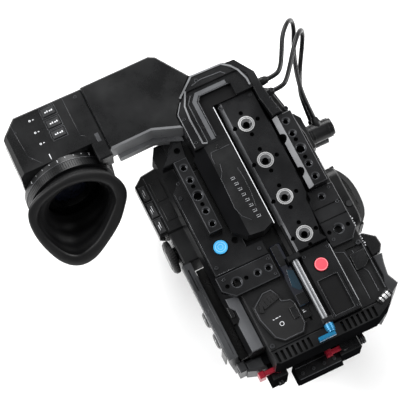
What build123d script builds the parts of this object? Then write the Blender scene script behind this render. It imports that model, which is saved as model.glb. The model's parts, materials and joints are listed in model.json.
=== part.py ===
from build123d import *
import os
from math import cos, pi, radians, sin, tan

os.makedirs("parts", exist_ok=True)

# A shoulder-style cinema camera body with a side viewfinder, top rail, accessory bars,
# fold-out side door, hand grip and two viewfinder cables. Millimetres.
# X points to the operator's right, Y along the lens axis (forward), Z up.
# The origin is the mouth of the tripod thread, under the lens axis, on the base.

# ---------------------------------------------------------------- driving dimensions
BASE_TOP = 20.0             # top of the base plate
BODY_TOP = 138.0            # top of the main housing
COVER_TOP = 144.0           # top of the housing's cover
PLATE_TOP = 150.0           # top of the flat accessory plates
RAIL_TOP = 158.0            # top of the central dovetail rail
BAR_TOP = 160.0             # top of the two cheese bars
ARM_BOTTOM = 145.0          # underside of the viewfinder arm
ARM_TOP = 165.0             # top of the viewfinder arm
BODY_LEFT = -79.0
BODY_RIGHT = 44.0
BODY_REAR = -84.0
BODY_FRONT = 104.0
LEAN = 8.6                  # the left wall and the side door lean in towards the base, degrees
LENS_Z = 84.0               # lens axis above the base

QUARTER_R = 2.55            # 1/4-20 thread, minor radius
THREE_EIGHTHS_R = 3.9       # 3/8-16 thread, minor radius
SINK = 0.9                  # depth and width of a thread's countersink
PIN_OFFSET = 8.2            # anti-twist pin holes either side of a 3/8 thread
PIN_R = 1.8
ROD_SPACING = 60.0          # lightweight support rods
ROD_BORE_R = 7.55
RUN_FIT = 0.05              # radial clearance of a running pin
FREE_GAP = 0.3              # gap between parts that move past each other

RAIL_FRONT = 106.0
RAIL_REAR = -31.0
INSERT_PITCH = 34.0
INSERT_FIRST_Y = 81.5
INSERT_R = 6.7

EYE_X = -147.0              # eyepiece centre
EYE_Y = 108.5
EYE_Z = 130.0
EYE_TILT = 15.0             # eyepiece axis above the horizontal
CUP_TILT = 38.0             # the eyecup rim faces further up
SEAM_X = -107.0             # viewfinder hinge plane
TILT_Y = 138.0              # viewfinder hinge axis
TILT_Z = 154.0

CABLE_R = 1.95


def save(piece, name):
    """Label a finished piece and write its STEP file."""
    piece.label = name
    export_step(piece, "parts/" + name + ".step")


def plate(outline, bottom, top, edge=0.0, corner=0.0):
    """A plate with a straight-sided outline, its corners rounded and its upper rim chamfered."""
    with BuildPart() as raised:
        with BuildSketch(Plane.XY.offset(bottom)) as face:
            with BuildLine():
                Polyline(*outline, close=True)
            make_face()
            if corner:
                fillet(face.vertices(), corner)
        extrude(amount=top - bottom)
        if edge:
            chamfer(raised.faces().sort_by(Axis.Z)[-1].outer_wire().edges(), edge)
    return raised.part


def block(x_span, y_span, z_span, edge=0.0):
    """A straight block between given limits, with its upper rim chamfered."""
    left, right = x_span
    rear, front = y_span
    outline = [(left, rear), (right, rear), (right, front), (left, front)]
    return plate(outline, z_span[0], z_span[1], edge)


def along_x(radius, x_start, x_end, y, z):
    """A round bar along X."""
    with BuildPart() as bar:
        with BuildSketch(Plane.YZ.offset(x_start)):
            with Locations((y, z)):
                Circle(radius)
        extrude(amount=x_end - x_start)
    return bar.part


def along_y(radius, y_front, y_rear, x, z):
    """A round bar along Y, from its front end to its rear end."""
    with BuildPart() as bar:
        with BuildSketch(Plane.XZ.offset(-y_front)):
            with Locations((x, z)):
                Circle(radius)
        extrude(amount=y_front - y_rear)
    return bar.part


def along_z(radius, bottom, top, x, y):
    """A round bar along Z."""
    with BuildPart() as bar:
        with BuildSketch(Plane.XY.offset(bottom)):
            with Locations((x, y)):
                Circle(radius)
        extrude(amount=top - bottom)
    return bar.part


def drilled(piece, holes, top):
    """Drill round holes, each (x, y, radius, depth), down from the given height; threads get a countersink."""
    with BuildPart() as result:
        add(piece)
        for x, y, radius, depth in holes:
            with BuildSketch(Plane.XY.offset(top)):
                with Locations((x, y)):
                    Circle(radius)
            extrude(amount=-depth, mode=Mode.SUBTRACT)
            if radius in (QUARTER_R, THREE_EIGHTHS_R):
                with Locations((x, y, top)):
                    Cone(radius, radius + SINK, SINK, align=(Align.CENTER, Align.CENTER, Align.MAX),
                         mode=Mode.SUBTRACT)
    return result.part


def less(piece, *cutters):
    """A piece with other solids cut out of it."""
    with BuildPart() as result:
        add(piece)
        for cutter in cutters:
            add(cutter, mode=Mode.SUBTRACT)
    return result.part


def joined(*pieces):
    """Solids merged into one piece where they touch."""
    with BuildPart() as result:
        for piece in pieces:
            add(piece)
    return result.part


def grouped(name, pieces):
    """Separate solids kept together in one node."""
    group = Compound(children=pieces)
    group.label = name
    export_step(group, "parts/" + name + ".step")


# ---------------------------------------------------------------- base plate
BASE_FRONT = 78.0
BASE_REAR = -56.0
PLATE_MIDDLE = 10.0         # height of the rod axes
base_outline = [(-58, BASE_REAR), (36, BASE_REAR), (36, BASE_FRONT), (-58, BASE_FRONT)]
base_blank = plate(base_outline, 0, BASE_TOP, 1.5, 8)
with BuildPart() as base_plate:
    add(base_blank)
    with BuildSketch(Plane.XZ.offset(-BASE_FRONT)):
        with Locations((-ROD_SPACING / 2, PLATE_MIDDLE), (ROD_SPACING / 2, PLATE_MIDDLE)):
            Circle(ROD_BORE_R)
    extrude(amount=BASE_FRONT - BASE_REAR, mode=Mode.SUBTRACT)
    with BuildSketch(Plane.XY):
        Circle(THREE_EIGHTHS_R)
        with Locations((0, 25), (0, -25)):
            Circle(QUARTER_R)
    extrude(amount=BASE_TOP, mode=Mode.SUBTRACT)
    with BuildSketch(Plane.XY):
        with Locations((0, PIN_OFFSET), (0, -PIN_OFFSET)):
            Circle(PIN_R)
    extrude(amount=6, mode=Mode.SUBTRACT)
save(base_plate.part, "base_plate")

# ---------------------------------------------------------------- main housing
SLOPE = tan(radians(LEAN))
LEDGE_TOP = 134.0           # ledge along the left of the cover
COVER_LEFT = -65.0
KNEE = 96.0                 # below this the rear wall slopes forward
REAR_FOOT = -64.0
LEFT_FOOT = BODY_LEFT + (LEDGE_TOP - 6 - BASE_TOP) * SLOPE
POD_LEFT = -84.3
POD_TOP = 113.0
POD_BOTTOM = 84.0
SENSOR_REAR = 54.0          # back of the sensor block
GRIP_Y = 3.0
GRIP_Z = 110.0
MOUNT_OPENING_R = 30.0
with BuildPart() as body_shell:
    with BuildSketch(Plane.XY.offset(BASE_TOP)):
        with BuildLine():
            Polyline((BODY_LEFT, BODY_REAR), (BODY_RIGHT - 4, BODY_REAR), (BODY_RIGHT, BODY_REAR + 12),
                     (BODY_RIGHT, 60), (36, BODY_FRONT), (-72, BODY_FRONT), (BODY_LEFT, 92), close=True)
        make_face()
    extrude(amount=BODY_TOP - BASE_TOP)
    # cross-section: leaning left wall, ledge beside the cover, bevelled right shoulder
    with BuildSketch(Plane.XZ.offset(-BODY_FRONT)):
        with BuildLine():
            Polyline((BODY_LEFT, LEDGE_TOP - 6), (BODY_LEFT + 2.5, LEDGE_TOP), (COVER_LEFT - 1, LEDGE_TOP),
                     (COVER_LEFT - 1, BODY_TOP), (BODY_RIGHT - 3, BODY_TOP), (BODY_RIGHT, BODY_TOP - 6),
                     (BODY_RIGHT, 34), (36, BASE_TOP), (LEFT_FOOT, BASE_TOP), close=True)
        make_face()
    extrude(amount=BODY_FRONT - BODY_REAR, mode=Mode.INTERSECT)
    # side profile: the rear wall slopes forward below the knee
    with BuildSketch(Plane.YZ.offset(BODY_LEFT)):
        with BuildLine():
            Polyline((BODY_REAR, BODY_TOP), (BODY_REAR, KNEE), (REAR_FOOT, BASE_TOP), (BODY_FRONT, BASE_TOP),
                     (BODY_FRONT, BODY_TOP), close=True)
        make_face()
    extrude(amount=BODY_RIGHT - BODY_LEFT, mode=Mode.INTERSECT)
    # round chamber behind the lens mount, down to the back of the sensor block
    with BuildSketch(Plane.XZ.offset(-BODY_FRONT)):
        with Locations((0, LENS_Z)):
            Circle(MOUNT_OPENING_R)
    extrude(amount=BODY_FRONT - SENSOR_REAR, mode=Mode.SUBTRACT)
    # floor of the channel between the housing and the side door
    with BuildSketch(Plane.XZ.offset(-1)):
        with BuildLine():
            Polyline((POD_LEFT, POD_TOP), (POD_LEFT + (POD_TOP - POD_BOTTOM) * SLOPE, POD_BOTTOM),
                     (-60, POD_BOTTOM), (-60, POD_TOP), close=True)
        make_face()
    extrude(amount=81)
    # round seat and centre bore of the hand grip
    with BuildSketch(Plane.YZ.offset(BODY_RIGHT)):
        with Locations((GRIP_Y, GRIP_Z)):
            Circle(15)
    extrude(amount=-3, mode=Mode.SUBTRACT)
    with BuildSketch(Plane.YZ.offset(BODY_RIGHT - 3)):
        with Locations((GRIP_Y, GRIP_Z)):
            Circle(5 + RUN_FIT)
    extrude(amount=-4, mode=Mode.SUBTRACT)
save(body_shell.part, "body_shell")

# ---------------------------------------------------------------- top cover
COVER_REAR = -92.0
cover_outline = [(COVER_LEFT, COVER_REAR), (41, COVER_REAR), (42, 58), (34, 101), (-58, 101), (COVER_LEFT, 92)]
cover_blank = plate(cover_outline, BODY_TOP, COVER_TOP, 1.0)
with BuildPart() as top_cover:
    add(cover_blank)
    # shallow step and round cell hatch on the right rear
    with BuildSketch(Plane.XY.offset(COVER_TOP)):
        with Locations((33.5, -66)):
            Rectangle(17, 46)
    extrude(amount=-2.5, mode=Mode.SUBTRACT)
    with BuildSketch(Plane.XY.offset(COVER_TOP)):
        with Locations((-24.5, -74)):
            Rectangle(2, 17)
    extrude(amount=-3, mode=Mode.SUBTRACT)
save(top_cover.part, "top_cover")

# ---------------------------------------------------------------- dovetail rail and bushings
insert_places = [(0, INSERT_FIRST_Y - INSERT_PITCH * row) for row in range(4)]
RAIL_PIN_CIRCLE = 10.0
with BuildPart() as dovetail_rail:
    with BuildSketch(Plane.XY.offset(COVER_TOP)):
        with BuildLine():
            Polyline((-17.3, RAIL_REAR), (-17.3, RAIL_FRONT), (17.8, RAIL_FRONT), (17.8, 29),
                     (16.5, 9), (13.6, 3.5), (14, -2.5), (12.5, -19), (10.5, -26), (14.3, RAIL_REAR),
                     close=True)
        make_face()
    extrude(amount=RAIL_TOP - COVER_TOP)
    with BuildSketch(Plane.XZ.offset(-RAIL_FRONT)):
        with BuildLine():
            Polyline((-17.3, COVER_TOP), (-17.3, 150), (-14, 151.5), (-10.9, RAIL_TOP), (16.6, RAIL_TOP),
                     (17.8, RAIL_TOP - 1.2), (17.8, COVER_TOP), close=True)
        make_face()
    extrude(amount=RAIL_FRONT - RAIL_REAR, mode=Mode.INTERSECT)
    for x, y in insert_places:
        with BuildSketch(Plane.XY.offset(RAIL_TOP)):
            with Locations((x, y)):
                Circle(INSERT_R)
        extrude(amount=-(RAIL_TOP - COVER_TOP), mode=Mode.SUBTRACT)
        with BuildSketch(Plane.XY.offset(RAIL_TOP)):
            with Locations((x, y)):
                with PolarLocations(RAIL_PIN_CIRCLE, 4):
                    Circle(PIN_R)
        extrude(amount=-6, mode=Mode.SUBTRACT)
save(dovetail_rail.part, "dovetail_rail")


def rail_bushing(x, y):
    """A threaded steel bushing with a dished face."""
    with BuildPart() as bushing:
        with BuildSketch(Plane.XY.offset(COVER_TOP)):
            with Locations((x, y)):
                Circle(INSERT_R)
                Circle(QUARTER_R, mode=Mode.SUBTRACT)
        extrude(amount=RAIL_TOP - COVER_TOP)
        with Locations((x, y, RAIL_TOP)):
            Cone(QUARTER_R, 4.6, 2, align=(Align.CENTER, Align.CENTER, Align.MAX), mode=Mode.SUBTRACT)
    return bushing.part


grouped("rail_bushings", [rail_bushing(x, y) for x, y in insert_places])

# ---------------------------------------------------------------- rear top plate
RED_X = 1.2
RED_Y = -47.5
RED_R = 5.3
REAR_PLATE_TOP = 152.0
rear_plate_outline = [(-11, -91.7), (14.5, -91.7), (14.5, RAIL_REAR - 0.3), (-11, RAIL_REAR - 0.3)]
rear_plate_blank = plate(rear_plate_outline, COVER_TOP, REAR_PLATE_TOP, 0.8)
with BuildPart() as rear_top_plate:
    add(rear_plate_blank)
    with BuildSketch(Plane.XY.offset(REAR_PLATE_TOP)):
        with Locations((0.8, -73.8)):
            RectangleRounded(16.5, 30, 1.5)
    extrude(amount=-1.6, mode=Mode.SUBTRACT)
    with BuildSketch(Plane.XY.offset(REAR_PLATE_TOP)):
        with Locations((RED_X, RED_Y)):
            Circle(RED_R + FREE_GAP)
    extrude(amount=-5, mode=Mode.SUBTRACT)
    with BuildSketch(Plane.XY.offset(REAR_PLATE_TOP)):
        with Locations((11.6, -71)):
            Rectangle(0.8, 21)
    extrude(amount=-0.8, mode=Mode.SUBTRACT)
# dovetail lock rod, its two bearings and its lever
LOCK_X = -16.2
LOCK_Z = 153.2
LOCK_R = 2.8
front_bearing = less(block((-21.3, -10.8), (-36, -31.4), (COVER_TOP, RAIL_TOP - 0.4), 0.8),
                     along_y(LOCK_R + RUN_FIT, -31, -37, LOCK_X, LOCK_Z))
rear_bearing = less(block((-20, -10.8), (-92, -88), (COVER_TOP, RAIL_TOP - 0.8), 0.8),
                    along_y(LOCK_R + RUN_FIT, -87, -93, LOCK_X, LOCK_Z))
save(joined(rear_top_plate.part, front_bearing, rear_bearing), "rear_top_plate")
save(along_y(LOCK_R, -31.8, -93, LOCK_X, LOCK_Z), "lock_rod")
lever_hub = along_y(3.6, -93, -98, LOCK_X, LOCK_Z)
lever_neck = along_y(3.0, -98, -99.5, LOCK_X, LOCK_Z)
lever_arm = block((LOCK_X - 12, LOCK_X + 2), (-102.9, -99.5), (LOCK_Z - 2, LOCK_Z + 2), 0.5)
save(joined(lever_hub, lever_neck, lever_arm), "lock_lever")
save(along_z(RED_R, REAR_PLATE_TOP - 3, REAR_PLATE_TOP + 1.2, RED_X, RED_Y), "red_button")


# ---------------------------------------------------------------- cheese bars and plates
def bar_holes(x, first, second, depth):
    """Two pairs of 1/4 threads either side of a 3/8 thread with its two pin holes."""
    middle = (first + second) / 2
    reach = (first - second) / 2
    holes = [(x, middle + offset, QUARTER_R, depth) for offset in (reach, reach - 11.5, 11.5 - reach, -reach)]
    holes.append((x, middle, THREE_EIGHTHS_R, depth))
    holes.append((x, middle + PIN_OFFSET, PIN_R, 5))
    holes.append((x, middle - PIN_OFFSET, PIN_R, 5))
    return holes


LEFT_BAR_X = -61.5
BAR_FRONT = 76.5
BAR_REAR = 11.0
BAR_FIRST = 69.3
BAR_LAST = 17.9
left_bar_blank = block((-67, -56), (BAR_REAR, BAR_FRONT), (PLATE_TOP, BAR_TOP), 0.6)
left_bar_holes = bar_holes(LEFT_BAR_X, BAR_FIRST, BAR_LAST, BAR_TOP - PLATE_TOP + 1)
save(drilled(left_bar_blank, left_bar_holes, BAR_TOP), "left_cheese_bar")

RIGHT_BAR_X = 29.0
right_bar_blank = block((20.5, 36.5), (BAR_REAR, BAR_FRONT), (PLATE_TOP, BAR_TOP), 0.6)
right_bar_foot = block((23, 36.5), (BAR_REAR, BAR_FRONT), (COVER_TOP, PLATE_TOP))
right_bar_notches = [along_z(4.2, PLATE_TOP - 1, BAR_TOP + 1, 19.5, y) for y in (58, 27)]
with BuildPart() as right_bar_bevel:
    with BuildSketch(Plane.XZ.offset(-BAR_FRONT - 1)):
        with BuildLine():
            Polyline((20, BAR_TOP - 4.5), (25, BAR_TOP + 0.5), (20, BAR_TOP + 0.5), close=True)
        make_face()
    extrude(amount=BAR_FRONT - BAR_REAR + 2)
right_bar = less(joined(right_bar_blank, right_bar_foot), right_bar_bevel.part, *right_bar_notches)
right_bar_holes = bar_holes(RIGHT_BAR_X, BAR_FIRST, BAR_LAST, BAR_TOP - COVER_TOP + 1)
save(drilled(right_bar, right_bar_holes, BAR_TOP), "right_cheese_bar")

BLUE_X = -63.0
BLUE_Y = 0.0
BLUE_R = 5.6
bracket_outline = [(-77, -20.5), (-31, -20.5), (-31, -8), (-44, -8), (-44, 67), (-66, 67), (-77, 56)]
bracket_blank = plate(bracket_outline, COVER_TOP, PLATE_TOP, 0.6)
bracket_holes = [(BLUE_X, BLUE_Y, BLUE_R + FREE_GAP, 4.5), (-50, 0.5, 2.9, 5)]
save(drilled(bracket_blank, bracket_holes, PLATE_TOP), "left_bracket")
save(along_z(BLUE_R, PLATE_TOP - 3, PLATE_TOP + 1.3, BLUE_X, BLUE_Y), "blue_button")

CROSS_Y = -31.0
PLATE_HOLE = PLATE_TOP - COVER_TOP + 1   # the plates' threads run right through
cross_outline = [(-78, -21.1), (-31, -21.1), (-31, -41), (-69, -41), (-78, -33)]
cross_blank = plate(cross_outline, COVER_TOP, PLATE_TOP, 0.6)
cross_holes = [(-64, CROSS_Y, THREE_EIGHTHS_R, PLATE_HOLE), (-46, CROSS_Y, QUARTER_R, PLATE_HOLE),
               (-36.5, CROSS_Y, QUARTER_R, PLATE_HOLE), (-64 - PIN_OFFSET, CROSS_Y, PIN_R, 5),
               (-64 + PIN_OFFSET, CROSS_Y, PIN_R, 5)]
save(drilled(cross_blank, cross_holes, PLATE_TOP), "cross_cheese_plate")

right_plate_outline = [(18.4, 10.7), (40.5, 10.7), (40.5, -31), (34, -38.5), (16, -38.5), (15.6, 1), (18.4, 5)]
right_plate_blank = plate(right_plate_outline, COVER_TOP, PLATE_TOP, 0.6)
right_plate_holes = [(27.5, 3, QUARTER_R, PLATE_HOLE), (27.5, -26.5, THREE_EIGHTHS_R, PLATE_HOLE),
                     (27.5 - PIN_OFFSET, -26.5, PIN_R, 5), (27.5 + PIN_OFFSET, -26.5, PIN_R, 5)]
right_plate_grooves = [block((15.6, 40), (y - 0.6, y + 0.6), (PLATE_TOP - 1.4, PLATE_TOP + 1))
                       for y in (-5.5, -16.8)]
right_plate = less(right_plate_blank, *right_plate_grooves)
save(drilled(right_plate, right_plate_holes, PLATE_TOP), "right_top_plate")

gusset_outline = [(-76, 77.2), (-55, 77.2), (-52.5, 92), (-61, 92)]
gusset_blank = plate(gusset_outline, COVER_TOP, RAIL_TOP - 2, 0.8)
save(drilled(gusset_blank, [(-59.5, 85.5, 2.6, 6)], RAIL_TOP - 2), "gusset_plate")

# ---------------------------------------------------------------- rear-left cover flap and window
flap_outline = [(-62, -54), (-50, -46), (-42, -46), (-39, -52), (-38, -58), (-31.5, -60), (-29.3, -64),
                (-29.3, -83), (-34, -89.5), (-51, -89.5), (-57, -84), (-62, -66)]
save(plate(flap_outline, COVER_TOP, COVER_TOP + 2.2, 0.6, 1.5), "flap_cover")
window_outline = [(-28.5, -70), (-19.5, -70), (-19.5, -36.5), (-21.8, -36.5), (-21.8, -30.8), (-19.5, -30.8),
                  (-19.5, -16), (-28.5, -16)]
save(plate(window_outline, COVER_TOP, COVER_TOP + 4.5, 0.8), "status_window")

# ---------------------------------------------------------------- rear bezel
BEZEL_REAR = -104.0
BEZEL_TOP = 145.5
BEZEL_BOTTOM = 120.0
RIB_PITCH = 4.6
bezel_outline = [(-65, COVER_REAR), (-65, BEZEL_REAR + 2), (-62, BEZEL_REAR), (24, BEZEL_REAR),
                 (36, BEZEL_REAR + 6), (41, COVER_REAR)]
bezel_front = block((-65, 40), (BODY_REAR, COVER_REAR), (BEZEL_BOTTOM, BODY_TOP))
bezel_blank = joined(plate(bezel_outline, BEZEL_BOTTOM, BEZEL_TOP, 0.8), bezel_front)
rib_rows = [-61.5 + RIB_PITCH * step for step in range(7)] + [-5 + RIB_PITCH * step for step in range(7)]
with BuildPart() as rear_bezel:
    add(bezel_blank)
    for x in rib_rows:
        with BuildSketch(Plane.XY.offset(BEZEL_TOP)):
            with Locations((x, -98)):
                Rectangle(2.2, 8.5)
        extrude(amount=-4, mode=Mode.SUBTRACT)
save(rear_bezel.part, "rear_bezel")

# ---------------------------------------------------------------- battery plate and accessory rail
PACK_REAR = -94.0
PACK_LOW = 70.0
PACK_HIGH = 114.0
pack_outline = [(-54, BODY_REAR), (14, BODY_REAR), (14, PACK_REAR), (-54, PACK_REAR)]
with BuildPart() as rear_plate:
    add(plate(pack_outline, PACK_LOW, PACK_HIGH, 1.5))
    # wedge recess that holds a battery pack from behind
    with BuildSketch(Plane.XZ.offset(-PACK_REAR)):
        with BuildLine():
            Polyline((-31, PACK_LOW), (-9, PACK_LOW), (-12, 82), (-28, 82), close=True)
        make_face()
    extrude(amount=-5, mode=Mode.SUBTRACT)
save(rear_plate.part, "rear_plate")

WEDGE_TOP = 100.0
wedge_profile = [(-100, 82), (-100, WEDGE_TOP), (-113, WEDGE_TOP), (-116, WEDGE_TOP - 4), (-113, 88), (-113, 82)]
with BuildPart() as accessory_wedge:
    with BuildSketch(Plane.YZ.offset(-48)):
        with BuildLine():
            Polyline(*wedge_profile, close=True)
        make_face()
    extrude(amount=38)
    add(block((-44, -14), (-100, PACK_REAR), (84, WEDGE_TOP - 2)))
save(accessory_wedge.part, "accessory_wedge")


# ---------------------------------------------------------------- rear clamps and their red levers
def clamp_lever(pivot_x, pivot_y, bottom, reach, drop):
    """A flat lever with a round hub and pin at its pivot and a turned-down head at its free end."""
    hub = along_z(3.6, bottom, bottom + 5, pivot_x, pivot_y)
    arm = block((pivot_x - reach, pivot_x), (pivot_y - 1.9, pivot_y + 1.9), (bottom + 0.8, bottom + 4.6), 0.5)
    head = block((pivot_x - reach - 4, pivot_x - reach + 1), (pivot_y - 2.8, pivot_y + 2.8),
                 (bottom - drop, bottom + 5), 0.6)
    pin = along_z(1.8, bottom - 6, bottom, pivot_x, pivot_y)
    return joined(hub, arm, head, pin)


LEVER_1 = (-60.5, -99.0)
LEVER_2 = (-5.0, -104.5)
CLAMP_1_TOP = 112.4
CLAMP_2_TOP = 104.4
save(clamp_lever(LEVER_1[0], LEVER_1[1], CLAMP_1_TOP + FREE_GAP, 13, 6), "clamp_lever_left")
save(clamp_lever(LEVER_2[0], LEVER_2[1], CLAMP_2_TOP + FREE_GAP, 12, 0), "clamp_lever_right")
clamp_1 = less(block((-68, -55), (-106, PACK_REAR), (84, CLAMP_1_TOP), 0.8),
               along_z(1.8 + RUN_FIT, CLAMP_1_TOP - 6.5, CLAMP_1_TOP + 1, *LEVER_1))
clamp_1_foot = block((-62, -54.5), (PACK_REAR, BODY_REAR), (97, 110))
clamp_1_screw = along_y(2.6, -106, -109, -61.5, 98)
clamp_2 = less(block((-10, 9), (-110, PACK_REAR), (80, CLAMP_2_TOP), 0.8),
               along_z(1.8 + RUN_FIT, CLAMP_2_TOP - 6.5, CLAMP_2_TOP + 1, *LEVER_2))
clamp_2_knob = along_x(4, 9, 15, -103, 95)
grouped("rear_clamps", [joined(clamp_1, clamp_1_foot, clamp_1_screw), joined(clamp_2, clamp_2_knob)])

# ---------------------------------------------------------------- left rear corner block with its lug
corner_outline = [(-84, BODY_REAR), (-68.3, BODY_REAR), (-68.3, -95.5), (-74, -95.5), (-84, -92)]
corner_block = plate(corner_outline, 98, 119, 2)
corner_lug = less(block((-89.5, -83), (-91, -82.5), (100, 119.5), 0.8), along_x(2.2, -91, -82, -87, 112))
lug_rest = block((-83.5, -78), (-86, BODY_REAR), (100, 117))
save(joined(corner_block, corner_lug, lug_rest), "rear_corner_block")

# ---------------------------------------------------------------- left ledge panel
ledge_outline = [(-76, -83.5), (-66.3, -83.5), (-66.3, -38), (-76.3, -36), (-76.3, -44), (-73, -48), (-73, -55),
                 (-76.3, -59)]
save(plate(ledge_outline, LEDGE_TOP, LEDGE_TOP + 2.2, 0.5), "left_ledge_panel")

# ---------------------------------------------------------------- front-left control panel
DOOR_LEFT = -95.0
DOOR_RIGHT = -87.3
DOOR_FRONT = 4.0
DOOR_REAR = -81.0
DOOR_TOP = 133.0
DOOR_KNEE = 125.0           # the door's faces lean in below this height
DOOR_BOTTOM = 78.0
DOOR_SHIFT = (DOOR_KNEE - DOOR_BOTTOM) * SLOPE
DOOR_PIN_X = -90.2
DOOR_PIN_Y = 1.0
DOOR_PIN_R = 1.2
LUG_R = 2.8
LUG_LEVELS = ((121.0, 126.5), (108.5, 114.0))
WHEEL_Y = 20.8
WHEEL_Z = 110.0
WHEEL_R = 13.4
WHEEL_LEFT = -99.0
WHEEL_RIGHT = -94.0
AXLE_R = 2.5
PANEL_TOP = 128.0
PANEL_REAR = 6.3
PANEL_LEFT = -99.3
KEY_LEFT = -98.0
KEY_RIGHT = -92.0


def door_lug(bottom, top):
    """A hinge ear that reaches from the control panel to the door's pin."""
    with BuildPart() as ear:
        with BuildSketch(Plane.XY.offset(bottom)):
            with Locations((DOOR_PIN_X, DOOR_PIN_Y)):
                Circle(LUG_R)
            with Locations((DOOR_PIN_X, (DOOR_PIN_Y + PANEL_REAR + 1) / 2)):
                Rectangle(2 * LUG_R, PANEL_REAR + 1 - DOOR_PIN_Y)
        extrude(amount=top - bottom)
    return ear.part


# key section, chamfered below, and the lower section that carries the wheel
key_outline = [(-75, 35), (PANEL_LEFT, 35), (PANEL_LEFT, 82), (-91, 88.5), (-75, 90.4)]
key_section = plate(key_outline, 108, PANEL_TOP, 1.0)
key_chamfer = [(PANEL_LEFT - 1, 107), (-91.5, 107), (PANEL_LEFT - 1, 120)]
with BuildPart() as key_relief:
    with BuildSketch(Plane.XZ.offset(-92)):
        with BuildLine():
            Polyline(*key_chamfer, close=True)
        make_face()
    extrude(amount=60)
wheel_section = block((-91.5, -70), (PANEL_REAR, 36), (96, PANEL_TOP - 2), 1.0)
door_pin = along_z(DOOR_PIN_R, LUG_LEVELS[1][0], LUG_LEVELS[0][1], DOOR_PIN_X, DOOR_PIN_Y)
panel_lugs = [door_lug(low, high) for low, high in LUG_LEVELS]
key_spans = [(66.5, 79.5), (51.0, 64.5), (36.5, 49.5)]
key_pockets = [block((KEY_LEFT - FREE_GAP, KEY_RIGHT + FREE_GAP), (low - FREE_GAP, high + FREE_GAP),
                     (PANEL_TOP - 3, PANEL_TOP + 1)) for low, high in key_spans]
wheel_bore = along_x(AXLE_R + RUN_FIT, -92, -85, WHEEL_Y, WHEEL_Z)
panel_blank = less(joined(key_section, wheel_section), key_relief.part, body_shell.part)
save(less(joined(panel_blank, door_pin, *panel_lugs), wheel_bore, *key_pockets), "control_panel")
for number, (low, high) in enumerate(key_spans, start=1):
    key = block((KEY_LEFT, KEY_RIGHT), (low, high), (PANEL_TOP - 1.6, PANEL_TOP + 1.6), 0.6)
    save(key, "side_key_" + str(number))

wheel_rim = along_x(WHEEL_R, WHEEL_LEFT, WHEEL_RIGHT, WHEEL_Y, WHEEL_Z)
wheel_hub = along_x(WHEEL_R / 2, WHEEL_RIGHT, -91.5 - FREE_GAP, WHEEL_Y, WHEEL_Z)
wheel_axle = along_x(AXLE_R, WHEEL_RIGHT, -86, WHEEL_Y, WHEEL_Z)
with BuildPart() as menu_wheel:
    add(joined(wheel_rim, wheel_hub, wheel_axle))
    chamfer(menu_wheel.edges().filter_by(GeomType.CIRCLE).sort_by(Axis.X)[:1], 1.2)
save(menu_wheel.part, "menu_wheel")

# ---------------------------------------------------------------- fold-out side door with two level knobs
KNOB_Z = 118.0
KNOB_R = 6.5
KNOB_LEFT = -96.2
KNOB_SEAT = -91.6           # floor of the knob's round recess
KNOB_STEM_R = 2.0
KNOB_ROWS = (-40.4, -59.4)
with BuildPart() as door_blank:
    with BuildSketch(Plane.XZ.offset(-DOOR_FRONT)):
        with BuildLine():
            Polyline((DOOR_LEFT + 1.2, DOOR_TOP), (DOOR_LEFT, DOOR_TOP - 1.2), (DOOR_LEFT, DOOR_KNEE),
                     (DOOR_LEFT + DOOR_SHIFT, DOOR_BOTTOM), (DOOR_RIGHT + DOOR_SHIFT + 3, DOOR_BOTTOM),
                     (DOOR_RIGHT + DOOR_SHIFT + 3, DOOR_BOTTOM + 3), (DOOR_RIGHT + DOOR_SHIFT, DOOR_BOTTOM + 4),
                     (DOOR_RIGHT, DOOR_KNEE), (DOOR_RIGHT, DOOR_TOP), close=True)
        make_face()
    extrude(amount=DOOR_FRONT - DOOR_REAR)
    # recess for the screen, on the inner face
    with BuildSketch(Plane.XZ.offset(10)):
        with BuildLine():
            Polyline((DOOR_RIGHT - 1.5, DOOR_KNEE - 4), (DOOR_RIGHT + DOOR_SHIFT - 2.5, DOOR_BOTTOM + 5),
                     (DOOR_RIGHT + DOOR_SHIFT + 2, DOOR_BOTTOM + 5), (DOOR_RIGHT + 3, DOOR_KNEE - 4), close=True)
        make_face()
    extrude(amount=64, mode=Mode.SUBTRACT)
lug_notches = [block((DOOR_LEFT - 1, DOOR_RIGHT + 4), (-2.4, DOOR_FRONT + 1), (low - FREE_GAP, high + FREE_GAP))
               for low, high in LUG_LEVELS]
door_bore = along_z(DOOR_PIN_R + RUN_FIT, LUG_LEVELS[1][0] - 1, LUG_LEVELS[0][1] + 1, DOOR_PIN_X, DOOR_PIN_Y)
knob_bores = [along_x(KNOB_STEM_R + RUN_FIT, DOOR_LEFT - 1, -88, y, KNOB_Z) for y in KNOB_ROWS]
knob_seats = [along_x(KNOB_R + FREE_GAP, DOOR_LEFT - 1, KNOB_SEAT, y, KNOB_Z) for y in KNOB_ROWS]
top_slot = block((-92.3, -91.0), (-20, -1), (DOOR_TOP - 1.5, DOOR_TOP + 1))
save(less(door_blank.part, door_bore, top_slot, *lug_notches, *knob_bores, *knob_seats), "side_door")
for number, y in enumerate(KNOB_ROWS, start=1):
    with BuildPart() as level_knob:
        add(along_x(KNOB_R, KNOB_LEFT, KNOB_SEAT - FREE_GAP, y, KNOB_Z))
        add(along_x(KNOB_STEM_R, KNOB_SEAT - FREE_GAP, -88.4, y, KNOB_Z))
        chamfer(level_knob.edges().filter_by(GeomType.CIRCLE).sort_by(Axis.X)[:1], 1)
    save(level_knob.part, "level_knob_" + str(number))

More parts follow.
